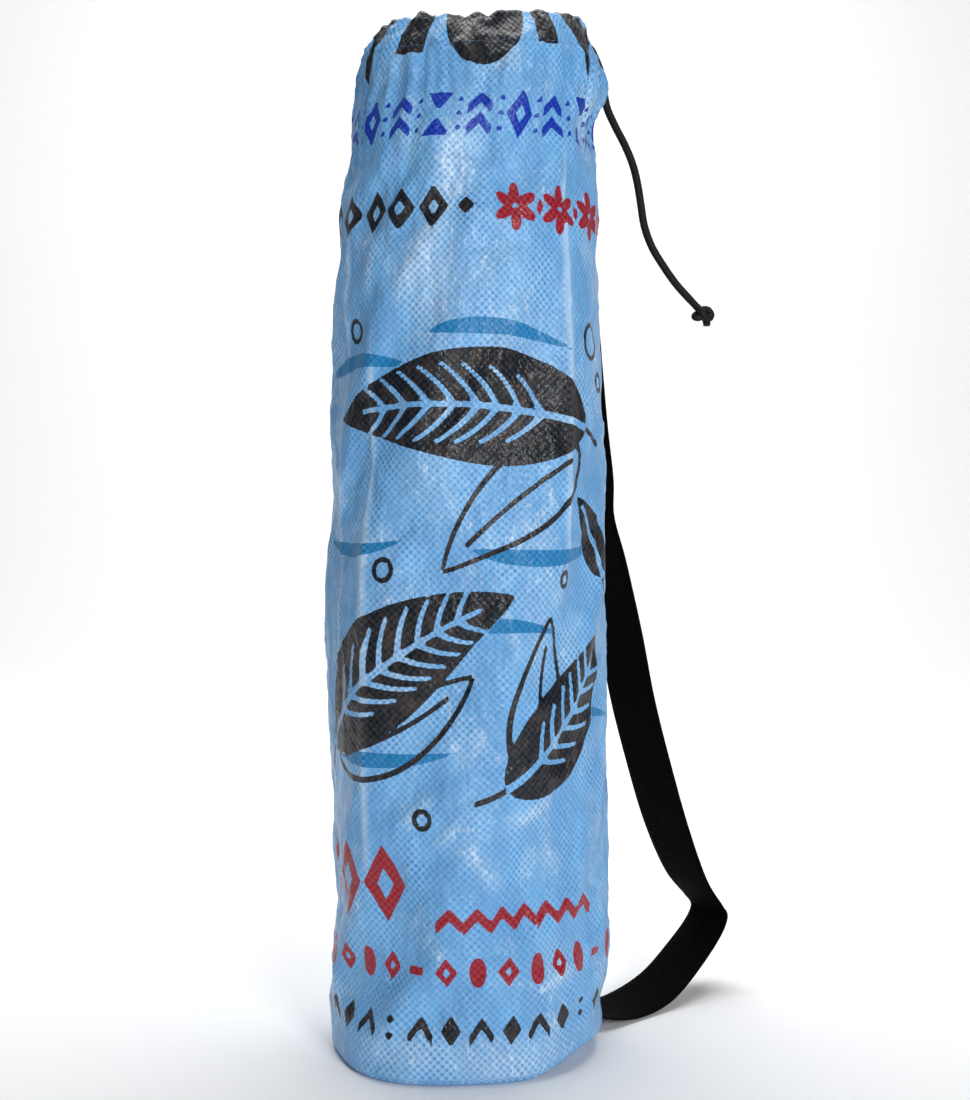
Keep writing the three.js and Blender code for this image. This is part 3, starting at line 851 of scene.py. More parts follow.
class Ink:
    """One ink's distance field on the vertices of the sheet."""

    margin = 5.0

    def __init__(self, u, v):
        self.u, self.v = u, v
        self.field = np.full(u.shape, -self.margin)

    def near(self, outline):
        low, high = np.min(outline, 0) - self.margin, np.max(outline, 0) + self.margin
        hits = []
        for lap in (-girth, 0.0, girth):
            u = self.u + lap
            chosen = np.flatnonzero((u > low[0]) & (u < high[0]) & (self.v > low[1]) & (self.v < high[1]))
            if len(chosen):
                hits.append((chosen, u[chosen], self.v[chosen]))
        return hits

    def add(self, outline):
        for chosen, u, v in self.near(outline):
            self.field[chosen] = np.maximum(self.field[chosen], distance_inside(outline, u, v))

    def cut(self, outline):
        for chosen, u, v in self.near(outline):
            self.field[chosen] = np.minimum(self.field[chosen], -distance_inside(outline, u, v))


def ellipse(u, v, half_wide, half_high, tilt=0.0, steps=36):
    a = np.linspace(0, 2 * np.pi, steps, endpoint=False)
    x, y = half_wide * np.cos(a), half_high * np.sin(a)
    c, s = math.cos(math.radians(tilt)), math.sin(math.radians(tilt))
    return np.stack([u + c * x - s * y, v + s * x + c * y], -1)


def block(u, v, wide, high, skew=0.0):
    """A block with its lower edge at v and its middle at u; its top leans over by skew."""
    w = wide / 2
    return [(u - w, v), (u + w, v), (u + w + skew, v + high), (u - w + skew, v + high)]


def diamond(u, v, wide, high):
    return [(u, v), (u + wide / 2, v + high / 2), (u, v + high), (u - wide / 2, v + high / 2)]


def triangle(u, v, wide, high, way):
    base, tip = (v, v + high) if way > 0 else (v + high, v)
    return [(u - wide / 2, base), (u + wide / 2, base), (u, tip)]


def chevron(u, v, wide, high, thick):
    w = wide / 2
    rise = high - thick
    return [(u - w, v), (u, v + rise), (u + w, v), (u + w, v + thick), (u, v + high), (u - w, v + thick)]


def ribbon(line, widths):
    """A closed outline along a line of points, as wide as widths says at each."""
    line = np.asarray(line, float)
    slope = np.gradient(line, axis=0)
    side = unit(np.stack([-slope[:, 1], slope[:, 0]], -1)) * (np.asarray(widths)[:, None] / 2)
    return np.concatenate([line + side, (line - side)[::-1]])


def arc_line(u, v, length, heading, bend, steps=24):
    """Points along an arc that starts at (u, v): heading and bend in degrees."""
    headings = np.radians(heading + bend * np.linspace(0, 1, steps))
    step = length / (steps - 1)
    du, dv = np.cumsum(np.cos(headings)) * step, np.cumsum(np.sin(headings)) * step
    return np.stack([u + du - du[0], v + dv - dv[0]], -1)


def swash(u, v, length, thick, heading, bend):
    """A brush stroke that thins out at both ends."""
    line = arc_line(u, v, length, heading, bend)
    share = np.linspace(0, 1, len(line))
    return ribbon(line, thick * np.sin(np.pi * share**0.75) ** 0.8 + 0.2)


def leaf(ink, under, u, v, length, wide, heading, bend, veins=7):
    """A broad leaf with its midrib and side veins left open, over the strokes under it."""
    line = arc_line(u, v, length, heading, bend, 72)
    share = np.linspace(0, 1, len(line))
    body = wide * np.sin(np.pi * share**0.72) ** 0.85 + 0.5
    ink.add(ribbon(line, body))
    under.cut(ribbon(line, body + 1.0))
    ink.cut(ribbon(line[:-9], blend(4.6, 2.6, share[:-9])))
    for k in range(1, veins + 1):
        at = 0.12 + 0.74 * k / (veins + 1)
        index = int(at * (len(line) - 1))
        way = math.degrees(math.atan2(*(line[index + 1] - line[index])[::-1]))
        reach = body[index] * 0.5
        for side in (1, -1):
            start = line[index]
            vein = arc_line(*start, reach, way + side * 58, -side * 26, 10)
            ink.cut(ribbon(vein, blend(3.6, 2.4, np.linspace(0, 1, 10))))
    stem = arc_line(u, v, length * 0.16, heading + 180, -bend * 0.4, 10)
    ink.add(ribbon(stem, np.full(10, 3.4)))


def ring(ink, u, v, radius, thick):
    ink.add(ellipse(u, v, radius * 0.9, radius))
    ink.cut(ellipse(u, v, (radius - thick) * 0.88, radius - thick))


def rim_blocks(ink):
    """Broad triangles, blocks and half discs that run over the gathered mouth."""
    pitch = girth / 3
    for k in range(3):
        u = k * pitch - 96
        ink.add(triangle(u, 604, 56, 62, -1))
        ink.add(block(u + 43, 619, 22, 50, 6))
        ink.add(ellipse(u + 99, 650, 32, 41))
        ink.add(block(u + 146, 622, 16, 46))


def flower(ink, u, v, size, petals=6):
    """Petals round an open middle."""
    reach = size * 0.3
    for k in range(petals):
        a = 360 * k / petals + 90
        du, dv = reach * math.cos(math.radians(a)), reach * math.sin(math.radians(a))
        ink.add(ellipse(u + du, v + dv, size * 0.21, size * 0.115, a))
    ink.add(ellipse(u, v, size * 0.13, size * 0.13, 0, 16))
    ink.cut(ellipse(u, v, size * 0.06, size * 0.06, 0, 16))


def dots(ink, u, v, high, count, size):
    for k in range(count):
        ink.add(ellipse(u, v + high * (k + 0.5) / count, size / 2, size / 2, 0, 16))


def blue_row(ink):
    """Stacked arrowheads, open diamonds and dots."""
    low, high = 565, 27
    count = 20
    pitch = girth / count
    for k in range(count):
        u = k * pitch + 4
        if k % 2 == 0:
            for step in (0, 12.5):
                ink.add(chevron(u, low + step, 17, 14.5, 6.8))
        elif k % 4 == 1:
            ink.add(diamond(u, low - 1, 20, high + 2))
            ink.cut(diamond(u, low + 8, 7.4, high - 16))
        else:
            ink.add(triangle(u, low, 18, 11.5, 1))
            ink.add(triangle(u, low + high - 11.5, 18, 11.5, -1))
        dots(ink, u + pitch / 2, low, high, 3, 3.8)


def second_row(black, red):
    """Open diamonds in black, then flowers in red, twice round."""
    low, high = 510, 27
    for lap in (0, girth / 2):
        for k in range(5):
            u = lap - 118 + 23.5 * k
            black.add(diamond(u, low, 21, high))
            black.cut(diamond(u, low + 8.2, 8, high - 16.4))
        black.add(diamond(lap - 2, low + 8, 12, high - 16))
        for k in range(4):
            u = lap + 30 + 32 * k
            flower(red, u, low + high / 2, high * 1.1)
            red.add(diamond(u + 16, low + high / 2 - 5, 5.6, 10))


def leaf_outline(ink, u, v, length, wide, heading, bend, thick=3.5):
    """The bare outline of a leaf with its midrib."""
    line = arc_line(u, v, length, heading, bend)
    share = np.linspace(0, 1, len(line))
    body = wide * np.sin(np.pi * share**0.72) ** 0.85
    slope = np.gradient(line, axis=0)
    side = unit(np.stack([-slope[:, 1], slope[:, 0]], -1)) * (body[:, None] / 2)
    for edge in (line + side, line - side):
        ink.add(ribbon(edge, blend(thick * 1.15, thick * 0.8, share)))
    ink.add(ribbon(line[2:-4], np.full(len(line) - 6, thick * 0.85)))


def big_leaves(black, wave):
    """The picture of the sack: broad leaves over brush strokes, once on the front and once behind."""
    for lap in (0, girth / 2):
        for u, v, length, thick, heading, bend in brush_strokes:
            wave.add(swash(lap + u, v, length, thick, heading, bend))
        for u, v, length, wide, heading, bend in outlined_leaves:
            leaf_outline(black, lap + u, v, length, wide, heading, bend)
        for u, v, length, wide, heading, bend, veins in black_leaves:
            leaf(black, wave, lap + u, v, length, wide, heading, bend, veins)
        for u, v, radius in rings:
            ring(black, lap + u, v, radius, 3.2)


# The picture's shapes: place, length, width, heading and bend, in mm and degrees
black_leaves = [
    (84, 392, 178, 70, 165, 26, 8),
    (-106, 196, 168, 66, 50, -30, 8),
    (24, 176, 128, 52, 30, 34, 6),
    (112, 300, 62, 26, 112, 26, 0),
]
outlined_leaves = [
    (78, 378, 118, 46, 208, 20),
    (-92, 190, 112, 42, 14, 28),
    (34, 184, 96, 36, 68, 18),
]
brush_strokes = [
    (-122, 426, 92, 9.5, 18, -34),
    (-24, 448, 96, 10, 14, -38),
    (-112, 322, 76, 8.5, -16, 34),
    (4, 318, 104, 10, -14, 32),
    (-20, 268, 84, 9, 16, -32),
    (-96, 196, 92, 9, -12, 26),
    (44, 214, 84, 9, 12, -26),
]
rings = [(-84, 452, 8), (92, 446, 12), (108, 422, 7), (-50, 306, 8), (66, 300, 6), (-26, 158, 7)]


def low_rows(black, red):
    """The rows near the foot: large diamonds and a zigzag, beads, then a black row."""
    for lap in (0, girth / 2):
        for k in range(3):
            u = lap - 112 + 30 * k
            red.add(diamond(u, 94, 28, 48))
            red.cut(diamond(u, 108, 10.5, 20))
        for k in range(7):
            red.add(chevron(lap - 10 + 16 * k, 91, 16.4, 16.5, 7.6))
        for k in range(14):
            u = lap - 124 + 18.6 * k
            if k % 7 == 5:
                red.add(block(u, 66, 10, 4.6))
            elif k % 2:
                red.add(ellipse(u, 68.5, 5.2, 9.5))
            else:
                red.add(diamond(u, 59, 13, 19))
                red.cut(diamond(u, 65, 4.4, 7))
        for k in range(14):
            u = lap - 120 + 18.4 * k
            if k % 7 == 4:
                dots(black, u, 24, 19, 2, 4.8)
            elif k % 2:
                black.add(chevron(u, 24, 15, 18, 7))
            else:
                black.add(diamond(u, 24, 12, 19))


def print_on(u, v):
    """The four inks at every vertex of the sheet."""
    made = {key: Ink(u, v) for key, _, _ in inks}
    rim_blocks(made["ink_black"])
    blue_row(made["ink_blue"])
    second_row(made["ink_black"], made["ink_red"])
    big_leaves(made["ink_black"], made["ink_wave"])
    low_rows(made["ink_black"], made["ink_red"])
    return {key: ink.field for key, ink in made.items()}


# The pieces

turns = np.arange(columns) * 360 / columns


def foot_row(inward, level):
    place = plain_tube(turns, 0.0) - outward(turns, 0.0) * inward
    place[:, 2] = foot_lift_at(turns) + cloth_thickness / 2 + level
    return place


def casing_place(down, inward):
    """The casing at a distance down from the mouth's edge and in from its outer layer."""
    height = 1 - down / bag_height
    return plain_tube(turns, height) - square_out(turns, height) * np.asarray(inward)[..., None]


def lowest_near(steps, reach, aside):
    """The lowest step within reach rows above and below and aside columns to each side."""
    padded = np.pad(steps, ((reach, reach), (0, 0)), mode="edge")
    low = np.min([padded[k : k + len(steps)] for k in range(2 * reach + 1)], axis=0)
    return np.min([np.roll(low, k, 1) for k in range(-aside, aside + 1)], axis=0)


def cloth_grid(buckles):
    """Rows of points down the middle of the cloth, from the foot's lip over the mouth to the hem.

    With each row come its length up the sheet and how far its inner face stands back.
    """
    rows, lengths = [], []
    for inward in (foot_round + foot_lip, foot_round + foot_lip / 2, foot_round):
        rows.append(foot_row(inward, 0.0))
        lengths.append(-inward)
    for degrees in (22.5, 45, 67.5):
        a = math.radians(degrees)
        rows.append(foot_row(foot_round * (1 - math.sin(a)), foot_round * (1 - math.cos(a))))
        lengths.append(-foot_round * (1 - math.sin(a)))
    low = foot_round / bag_height
    heights = np.linspace(low, seam_height, wall_rows)
    grid_turn, grid_height = np.meshgrid(turns, heights)
    tube, _, steps = face_point(grid_turn, grid_height, buckles, 0.0)
    rows.extend(tube)
    lengths.extend(heights * bag_height)
    edge = 1 - crest_round / bag_height
    for height in np.linspace(seam_height, edge, casing_rows + 1)[1:]:
        place = wall(turns, height)
        step = np.maximum(crumple(turns, height, place, buckles), -casing_room)
        rows.append(place + square_out(turns, height) * step[..., None])
        lengths.append(height * bag_height)
    edge_step = rows[-1] - wall(turns, edge)
    ripple = crest_ripple_height * gather_size(turns) * (gather_wave(turns) - 0.5)
    crest_noise = noise_at(rows[-1], (7, 60), 7) * 1.2 + noise_at(rows[-1], (17, 60), 8) * 2.6
    outer = gather_depth * mouth_gather * gather_size(turns) * gather_wave(turns)
    inner = channel + cloth_thickness + hem_gather_depth * gather_size(turns) * gather_wave(turns)
    for share in (0.0, 0.12, 0.3, 0.5, 0.7, 0.88):
        a = math.pi * share
        down = crest_round * (1 - math.sin(a)) ** 1.4
        across = (1 - math.cos(a)) / 2
        place = casing_place(down, blend(-outer, inner, across)) + edge_step * (1 - across)
        place[:, 2] += (ripple + crest_noise) * math.sin(a)
        rows.append(place)
        lengths.append(bag_height + fold_run * share)
    for down in (crest_round, 7.0, casing_height / 2, 15.0, 19.0):
        rows.append(casing_place(down, inner))
        lengths.append(bag_height + fold_run + down)
    hem = wall(turns, seam_height) - outward(turns, seam_height) * (cloth_thickness + 2 * seam_gap)
    rows.append(hem)
    lengths.append(bag_height + fold_run + casing_height)
    back = np.zeros((len(rows), columns))
    wall_part = slice(foot_rows, foot_rows + wall_rows)
    back[wall_part] = steps - lowest_near(steps, inner_step, inner_aside) + inner_room
    return np.array(rows), np.array(lengths), back


def sheet_normals(grid):
    around = np.roll(grid, -1, 1) - np.roll(grid, 1, 1)
    along = np.gradient(grid, axis=0)
    return unit(np.cross(around, along))


def sack(material, plain, buckles):
    """The whole cloth: a fine printed outer face and a coarser plain inner face."""
    grid, lengths, back = cloth_grid(buckles)
    normals = sheet_normals(grid)
    count = len(grid)
    first_casing = foot_rows + wall_rows
    kept = [0, 3, foot_rows]
    kept += list(range(foot_rows + inner_step, first_casing - 1, inner_step))
    kept += list(range(first_casing - 1, count))
    outer = grid + normals * sheet_thickness / 2
    inner = (grid - normals * (sheet_thickness / 2 + back[..., None]))[kept]
    points = np.concatenate([outer.reshape(-1, 3), inner.reshape(-1, 3)])
    points[:, 2] = np.maximum(points[:, 2], 0)
    wide = (turns + 180) % 360 - 180
    u = np.radians(wide) * bag_radius
    outer_uv = np.stack(np.meshgrid(u, lengths), -1).reshape(-1, 2)
    inner_uv = np.stack(np.meshgrid(u, lengths[kept]), -1).reshape(-1, 2)
    slot = exit_slot(lengths, first_casing)
    faces = grid_faces(count, columns, skip=slot)
    printed_faces = len(faces)
    base = count * columns
    inner_slot = {(kept.index(i), j) for i, j in slot}
    faces += grid_faces(len(kept), columns, base, turned=True, skip=inner_slot)
    for j in range(columns):
        b = (j + 1) % columns
        faces.append((b, j, base + j, base + b))
        top, low = (count - 1) * columns, base + (len(kept) - 1) * columns
        faces.append((top + j, top + b, low + b, low + j))
    faces.extend(slot_walls(slot, kept, base))
    fields = print_on(outer_uv[:, 0], outer_uv[:, 1])
    padded = {key: np.concatenate([field, np.full(len(inner_uv), -5.0)]) for key, field in fields.items()}
    grid_turn, grid_height = np.meshgrid(turns, lengths / bag_height)
    plain_part = np.zeros(len(inner_uv))
    # For the shader: the creases, which get a painted highlight, and the painted glare of the dents and
    # glare spots
    padded["crease"] = np.concatenate([crease_at(grid_turn, grid_height).ravel(), plain_part])
    padded["wear_and_glare"] = np.concatenate([dent_at(grid_turn, grid_height)[1].ravel(), plain_part])
    uvs = np.concatenate([outer_uv, inner_uv])
    piece = mesh_object("sack_cloth", points, faces, material, uvs, padded)
    piece.data.materials.append(plain)
    slots = (np.arange(len(faces)) >= printed_faces).astype(int)
    piece.data.polygons.foreach_set("material_index", slots)
    wrap_uvs(piece)
    return piece


def wrap_uvs(piece):
    """Carries the sheet coordinates across the line where the turn jumps by a full girth."""
    layer = piece.data.uv_layers["sheet"].data
    flat = np.empty(len(layer) * 2)
    layer.foreach_get("uv", flat)
    flat = flat.reshape(-1, 4, 2)
    high = flat[:, :, 0].max(1, keepdims=True)
    jumped = (high - flat[:, :, 0]) > girth / 2
    flat[:, :, 0] += jumped * girth
    layer.foreach_set("uv", flat.ravel())


def exit_slot(lengths, first_casing):
    """The cells of the grid that are left open where the cord comes out."""
    middle = bag_height - cord_depth
    cells = set()
    for i in range(first_casing, first_casing + casing_rows - 1):
        if abs((lengths[i] + lengths[i + 1]) / 2 - middle) < slit_height / 2:
            for j in range(columns):
                if abs(turns[j] + 180 / columns - slit_turn) < slit_half_turn:
                    cells.add((i, j))
    return cells


def slot_walls(slot, kept, base):
    """Narrow faces that join the outer and inner faces of the cloth round the slot."""
    walls = []
    inner_row = {row: index for index, row in enumerate(kept)}

    def pair(i, j):
        return i * columns + j % columns, base + inner_row[i] * columns + j % columns

    for i, j in sorted(slot):
        for (near, from_i, from_j, to_i, to_j) in (
            ((i - 1, j), i, j, i, j + 1),
            ((i + 1, j), i + 1, j + 1, i + 1, j),
            ((i, j - 1), i + 1, j, i, j),
            ((i, j + 1), i, j + 1, i + 1, j + 1),
        ):
            if near in slot:
                continue
            a, a_in = pair(from_i, from_j)
            b, b_in = pair(to_i, to_j)
            walls.append((a, b, b_in, a_in))
    return walls


def base_disc(material):
    """The round base, flat in the middle and lifted with the foot at its edge."""
    edge = foot_round + foot_lip + seam_gap
    shares = np.concatenate([np.linspace(0.04, base_flat, 12), np.linspace(base_flat, 1, 16)[1:]])
    rim = plain_tube(turns, 0.0) - outward(turns, 0.0) * edge
    rings = []
    for share in shares:
        ring_points = rim * share
        raised = max(share - base_flat, 0) / (1 - base_flat)
        ring_points[:, 2] = raised**2 * foot_lift_at(turns) + cloth_thickness / 2
        rings.append(ring_points)
    flat = np.array(rings)
    half = cloth_thickness / 2 - 0.1
    points = [np.array([[0, 0, cloth_thickness / 2 - half]])]
    points.append((flat - [0, 0, half]).reshape(-1, 3))
    points.append(np.array([[0, 0, cloth_thickness / 2 + half]]))
    points.append((flat + [0, 0, half]).reshape(-1, 3))
    points = np.concatenate(points)
    layer = 1 + len(rings) * columns
    faces = grid_faces(len(rings), columns, 1)
    faces += grid_faces(len(rings), columns, layer + 1, turned=True)
    for j in range(columns):
        b = (j + 1) % columns
        faces.append((0, 1 + b, 1 + j))
        faces.append((layer, layer + 1 + j, layer + 1 + b))
        p, q = layer - columns + j, layer - columns + b
        faces.append((p, q, layer + q, layer + p))
    return mesh_object("base_disc", points, faces, material, points[:, :2])


def smooth_line(points, step):
    """A smooth line through points, with about one point for each step of length."""
    points = np.asarray(points, float)
    knots = np.concatenate([[0], np.cumsum(np.linalg.norm(np.diff(points, axis=0), axis=1))])
    places = np.linspace(0, knots[-1], int(knots[-1] / step) + 1)
    return np.stack([through(knots, points[:, k], places) for k in range(3)], -1)


def loop_place(turn):
    """A point on the middle line of the cord in its channel."""
    height = 1 - cord_depth / bag_height
    return plain_tube(turn, height) - square_out(turn, height) * (channel + cloth_thickness) / 2


def braided_tube(name, points, diameter, material, step=0.7, sides=24):
    """A round braided cord along a line, closed at both ends."""
    line = smooth_line(points, step)
    ways = unit(np.gradient(line, axis=0))
    side = unit(np.cross(ways[0], [0.0, 1.0, 0.3]))
    rings = []
    for k, (middle, way) in enumerate(zip(line, ways)):
        side = unit(side - way * np.dot(side, way))
        other = np.cross(way, side)
        a = np.arange(sides) * 2 * np.pi / sides
        lay = k * step / 2.1
        one, two = np.abs(np.cos(3 * a + lay)), np.abs(np.cos(3 * a - lay))
        radius = diameter / 2 * (0.93 + 0.1 * np.maximum(one, two) ** 1.5)
        rings.append(middle + (np.outer(np.cos(a) * radius, side) + np.outer(np.sin(a) * radius, other)))
    rings = np.array(rings)
    count = len(rings)
    points = np.concatenate([rings.reshape(-1, 3), line[:1] - ways[:1] * 0.5, line[-1:] + ways[-1:] * 0.5])
    faces = grid_faces(count, sides)
    start, end = count * sides, count * sides + 1
    for j in range(sides):
        b = (j + 1) % sides
        faces.append((start, b, j))
        faces.append((end, (count - 1) * sides + j, (count - 1) * sides + b))
    return mesh_object(name, points, faces, material), line


def strap_lines(across):
    """The strap's surface: a line through the stations for each share across its width."""
    rows = []
    seat = cloth_thickness / 2 + strap_gap + strap_thickness / 2
    for height, turn, out, face, dip, hug in strap_stations:
        middle_turn = strap_turn + turn
        normal = outward(middle_turn, height)
        step = seat + out * strap_reach
        middle = wall(middle_turn, height) + normal * step
        width = np.cross([0.0, 0.0, 1.0], normal)
        c, s = math.cos(math.radians(face)), math.sin(math.radians(face))
        width = np.array([c * width[0] - s * width[1], s * width[0] + c * width[1], 0.0])
        width *= math.cos(math.radians(dip))
        width[2] = math.sin(math.radians(dip))
        row = []
        for share in across:
            straight = middle + width * share * strap_width
            arc = math.degrees(share * strap_width / bag_radius)
            lying = wall(middle_turn + arc, height) + outward(middle_turn + arc, height) * step
            row.append(blend(straight, lying, hug))
        rows.append(row)
    return np.array(rows)


def centripetal(rows, steps):
    """Smooth rows between rows of points, as a centripetal line through each column."""
    made = []
    padded = np.concatenate([[2 * rows[0] - rows[1]], rows, [2 * rows[-1] - rows[-2]]])
    for i in range(len(rows) - 1):
        p0, p1, p2, p3 = padded[i : i + 4]
        t = [0.0]
        for a, b in ((p0, p1), (p1, p2), (p2, p3)):
            t.append(t[-1] + np.mean(np.linalg.norm(b - a, axis=-1)) ** 0.5)
        for x in np.linspace(t[1], t[2], steps, endpoint=i == len(rows) - 2):
            a1 = p0 * (t[1] - x) / (t[1] - t[0]) + p1 * (x - t[0]) / (t[1] - t[0])
            a2 = p1 * (t[2] - x) / (t[2] - t[1]) + p2 * (x - t[1]) / (t[2] - t[1])
            a3 = p2 * (t[3] - x) / (t[3] - t[2]) + p3 * (x - t[2]) / (t[3] - t[2])
            b1 = a1 * (t[2] - x) / (t[2] - t[0]) + a2 * (x - t[0]) / (t[2] - t[0])
            b2 = a2 * (t[3] - x) / (t[3] - t[1]) + a3 * (x - t[1]) / (t[3] - t[1])
            made.append(b1 * (t[2] - x) / (t[2] - t[1]) + b2 * (x - t[1]) / (t[2] - t[1]))
    return np.array(made)


def strap_surface():
    across = np.linspace(-0.5, 0.5, 13)
    rows = centripetal(strap_lines(across), 12)
    around = np.gradient(rows, axis=1)
    along = np.gradient(rows, axis=0)
    normals = unit(np.cross(around, along))
    middle = rows[:, 6]
    length = np.concatenate([[0], np.cumsum(np.linalg.norm(np.diff(middle, axis=0), axis=1))])
    return across, rows, normals, length


def shoulder_strap(material):
    """The webbing: a flat strip with rounded edges."""
    across, rows, normals, length = strap_surface()
    thin = np.sqrt(np.clip(1 - np.abs(across * 2) ** 14, 0, 1)) * 0.86 + 0.14
    half = strap_thickness / 2 * 0.92 * thin
    outer = rows - normals * half[None, :, None]
    inner = rows + normals * half[None, :, None]
    count, wide = rows.shape[:2]
    points = np.concatenate([outer.reshape(-1, 3), inner.reshape(-1, 3)])
    points[:, 2] = np.maximum(points[:, 2], 0.05)
    sheet = np.stack(np.meshgrid(across * strap_width, length), -1).reshape(-1, 2)
    layer = count * wide
    faces = grid_faces(count, wide, closed=False, turned=True)
    faces += grid_faces(count, wide, layer, closed=False)
    for i in range(count - 1):
        a, b = i * wide, i * wide + wide - 1
        faces.append((a, layer + a, layer + a + wide, a + wide))
        faces.append((b + wide, layer + b + wide, layer + b, b))
    last = (count - 1) * wide
    for j in range(wide - 1):
        faces.append((j, j + 1, layer + j + 1, layer + j))
        faces.append((last + j + 1, last + j, layer + last + j, layer + last + j + 1))
    return mesh_object("shoulder_webbing", points, faces, material, np.concatenate([sheet, sheet]))


# A stitch from end to end: share of its length, width, and rise in diameters
stitch_profile = [(0, 0.5, -0.35), (0.18, 1, 0), (0.5, 1.05, 0.1), (0.82, 1, 0), (1, 0.5, -0.35)]


def stitch_bars(name, starts, ends, normals, diameter, material):
    """Many short threads: each a six-sided bar that dips at both ends."""
    sides = 6
    points, faces = [], []
    for start, end, normal in zip(starts, ends, normals):
        way = unit(end - start)
        side = np.cross(way, normal)
        base = len(points)
        for share, grow, rise in stitch_profile:
            middle = start + (end - start) * share + normal * rise * diameter
            for k in range(sides):
                a = 2 * math.pi * k / sides
                offset = side * math.cos(a) + normal * math.sin(a)
                points.append(middle + offset * diameter / 2 * grow)
        for i in range(4):
            for k in range(sides):
                p, q = base + i * sides + k, base + i * sides + (k + 1) % sides
                faces.append((p, p + sides, q + sides, q))
        faces.append(tuple(base + k for k in range(sides)))
        faces.append(tuple(base + 4 * sides + k for k in reversed(range(sides))))
    return mesh_object(name, np.array(points), faces, material)


def place_on_strap(surface, share_across, length_at):
    """A point on the strap's outer face and its normal."""
    across, rows, normals, length = surface
    i = int(np.clip(np.searchsorted(length, length_at), 1, len(length) - 1))
    part = (length_at - length[i - 1]) / (length[i] - length[i - 1])
    column = np.interp(share_across, across, np.arange(len(across)))
    j = int(min(column, len(across) - 2))
    f = column - j
    row = blend(rows[i - 1], rows[i], part)
    normal = unit(blend(normals[i - 1][j], normals[i][j], part))
    return blend(row[j], row[j + 1], f) - normal * (strap_thickness / 2 + 0.1), -normal


def strap_stitches(material):
    """A sewn box with a cross at the strap's top end, and two rows across its foot end."""
    surface = strap_surface()
    total = surface[3][-1]
    box = [(-0.4, 3), (0.4, 3), (0.4, 27), (-0.4, 27)]
    lines = [(box[k], box[(k + 1) % 4]) for k in range(4)] + [(box[0], box[2]), (box[1], box[3])]
    for back in (3.0, 6.5):
        lines.append(((-0.44, total - back), (0.44, total - back)))
    starts, ends, normals = [], [], []
    pitch, gap = strap_pitch, strap_thread_gap
    for (a_across, a_along), (b_across, b_along) in lines:
        run = math.hypot((b_across - a_across) * strap_width, b_along - a_along)
        def along_line(share):
            across, along = blend(a_across, b_across, share), blend(a_along, b_along, share)
            return place_on_strap(surface, across, along)

        for k in range(int(run / pitch)):
            low, high = (k * pitch + gap / 2) / run, ((k + 1) * pitch - gap / 2) / run
            start, normal = along_line(low)
            end, _ = along_line(high)
            starts.append(start)
            ends.append(end)
            normals.append(normal)
    return stitch_bars("strap_stitches", starts, ends, normals, strap_thread, material)


def casing_stitches(material, buckles):
    """The row of stitches that closes the cord's casing."""
    count = casing_stitch_count
    places = (np.arange(count)[:, None] + [0.12, 0.88]) * 360 / count
    level = np.full(places.shape, seam_height)
    points, normals, _ = face_point(places, level, buckles, sheet_thickness / 2 + 0.1)
    starts, ends = points[:, 0], points[:, 1]
    return stitch_bars("casing_stitches", starts, ends, normals[:, 0], casing_thread, material)


def side_stitches(material, buckles):
    """Two rows of stitches down the lapped side seam, behind the strap."""
    low, high = 0.03, 0.855
    count = int((high - low) * bag_height / side_pitch)
    starts, ends, ways = [], [], []
    for aside in (-lap_half + 2.4, lap_half - 2.4):
        places = low + (np.arange(count)[:, None] + [0.12, 0.86]) / count * (high - low)
        turn = np.full(places.shape, strap_turn + math.degrees(aside / bag_radius))
        points, normals, _ = face_point(turn, places, buckles, sheet_thickness / 2 + 0.15)
        starts.extend(points[:, 0])
        ends.extend(points[:, 1])
        ways.extend(normals[:, 0])
    return stitch_bars("side_stitches", starts, ends, ways, side_thread, material)


# The stage

def studio():
    """A pale floor that curves up behind the bag, soft lights and a dim surrounding, in metres."""
    pale = Nodes("studio_floor").finish(srgb(250, 250, 250), 0.9, 0.1)
    near, depth, rise, half, cove = -4.0, 3.4, 3.0, 5.0, 1.2
    profile = [(near, 0.0), (depth - cove, 0.0)]
    for k in range(1, 9):
        a = math.pi / 2 * k / 8
        profile.append((depth - cove + cove * math.sin(a), cove - cove * math.cos(a)))
    profile.append((depth, rise))
    points = [(x, y, z) for y, z in profile for x in (-half, half)]
    faces = [(2 * k, 2 * k + 1, 2 * k + 3, 2 * k + 2) for k in range(len(profile) - 1)]
    floor = mesh_object("studio_floor", np.array(points) / MM, faces, pale)
    world = bpy.data.worlds.new("studio")
    world.use_nodes = True
    background = world.node_tree.nodes["Background"].inputs
    background["Color"].default_value = (1.0, 1.0, 1.0, 1.0)
    background["Strength"].default_value = world_strength
    bpy.context.scene.world = world
    bpy.context.scene.view_settings.view_transform = "Standard"
    for name, place, aim, power, size in lamps:
        light = bpy.data.lights.new(name, "AREA")
        light.energy = power
        light.size = size
        lamp = bpy.data.objects.new(name, light)
        lamp.location = place
        lamp.rotation_euler = (Vector(aim) - Vector(place)).to_track_quat("-Z", "Y").to_euler()
        bpy.context.scene.collection.objects.link(lamp)


world_strength = 0.1

# Name, place, aim, power in watts and side in metres of each soft light
lamps = [
    ("key", (0.8, -2.15, 0.85), (0, 0, 0.32), 30, 0.6),
    ("strip", (-0.7, -2.0, 0.8), (0, 0, 0.35), 0.6, 0.35),
    ("top", (0.0, 0.6, 2.6), (0, 0.5, 0), 36, 2.2),
    ("backdrop", (0.0, 0.8, 2.4), (0, 3.4, 0.6), 62, 2.0),
]


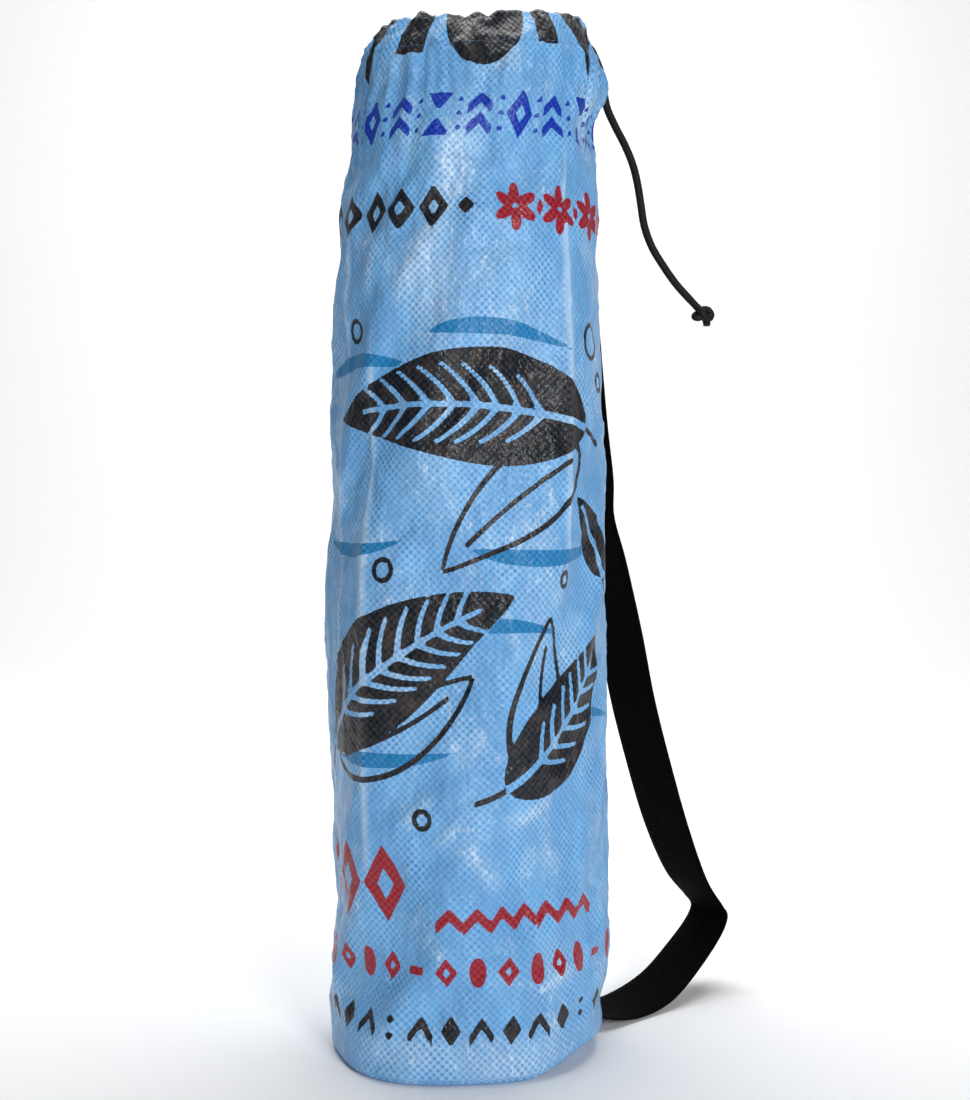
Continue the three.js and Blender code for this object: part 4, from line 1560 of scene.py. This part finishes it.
# The photograph's frame is 970 by 1100 pixels; the camera's axis meets it at this pixel.
photo_wide, photo_high = 970, 1100
axis_u, axis_v = 467, 515
focal_pixels = 1628.6
camera_distance, camera_height = 1.05, 0.339


def photo_camera():
    data = bpy.data.cameras.new("camera")
    data.sensor_fit = "VERTICAL"
    data.sensor_height = 36.0
    data.lens = focal_pixels * data.sensor_height / photo_high
    data.shift_x = (photo_wide / 2 - axis_u) / photo_high
    data.shift_y = (axis_v - photo_high / 2) / photo_high
    camera = bpy.data.objects.new("camera", data)
    camera.location = (0, -camera_distance, camera_height)
    camera.rotation_euler = (math.pi / 2, 0, 0)
    bpy.context.scene.collection.objects.link(camera)
    bpy.context.scene.camera = camera


def main():
    photo_camera()
    yarn = cord_yarn()
    knot_line = np.array(knot_points) + knot_middle
    knot, _ = braided_tube("cord_knot", knot_line, cord_diameter * 0.98, yarn, 0.5)
    gap_turn = math.degrees(cord_joint_gap / mouth_half_depth)
    start = loop_place(cord_exit_turn + cord_bend_turn - gap_turn)
    bend = loop_place(cord_exit_turn + cord_bend_turn / 2)
    tail, line = braided_tube("cord_tail", [start, bend, *tail_points], cord_diameter, yarn)
    loop = bpy.data.objects["drawcord_loop"]
    loop.data.materials.clear()
    loop.data.materials.append(yarn)
    for piece, node in ((tail, "drawcord_tail"), (knot, "drawcord_knot")):
        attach(piece, "root")
        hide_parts(node)
    printed = sack_cloth("sack_print", True)
    plain = sack_cloth("sack_inside", False)
    buckles = Buckles()
    cloth = sack(printed, plain, buckles)
    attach(cloth, "root")
    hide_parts("bag_body")
    disc = base_disc(plain)
    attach(disc, "root")
    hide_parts("base_panel")
    strap = shoulder_strap(webbing())
    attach(strap, "root")
    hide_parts("shoulder_strap")
    dark = thread("dark_thread", srgb(30, 30, 33))
    blue = thread("blue_thread", srgb(84, 128, 172))
    fine_pieces = (
        (strap_stitches(dark), "webbing"),
        (casing_stitches(blue, buckles), "sack_cloth"),
        (side_stitches(blue, buckles), "sack_cloth"),
    )
    for piece, slot in fine_pieces:
        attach(piece, "root")
    studio()


main()
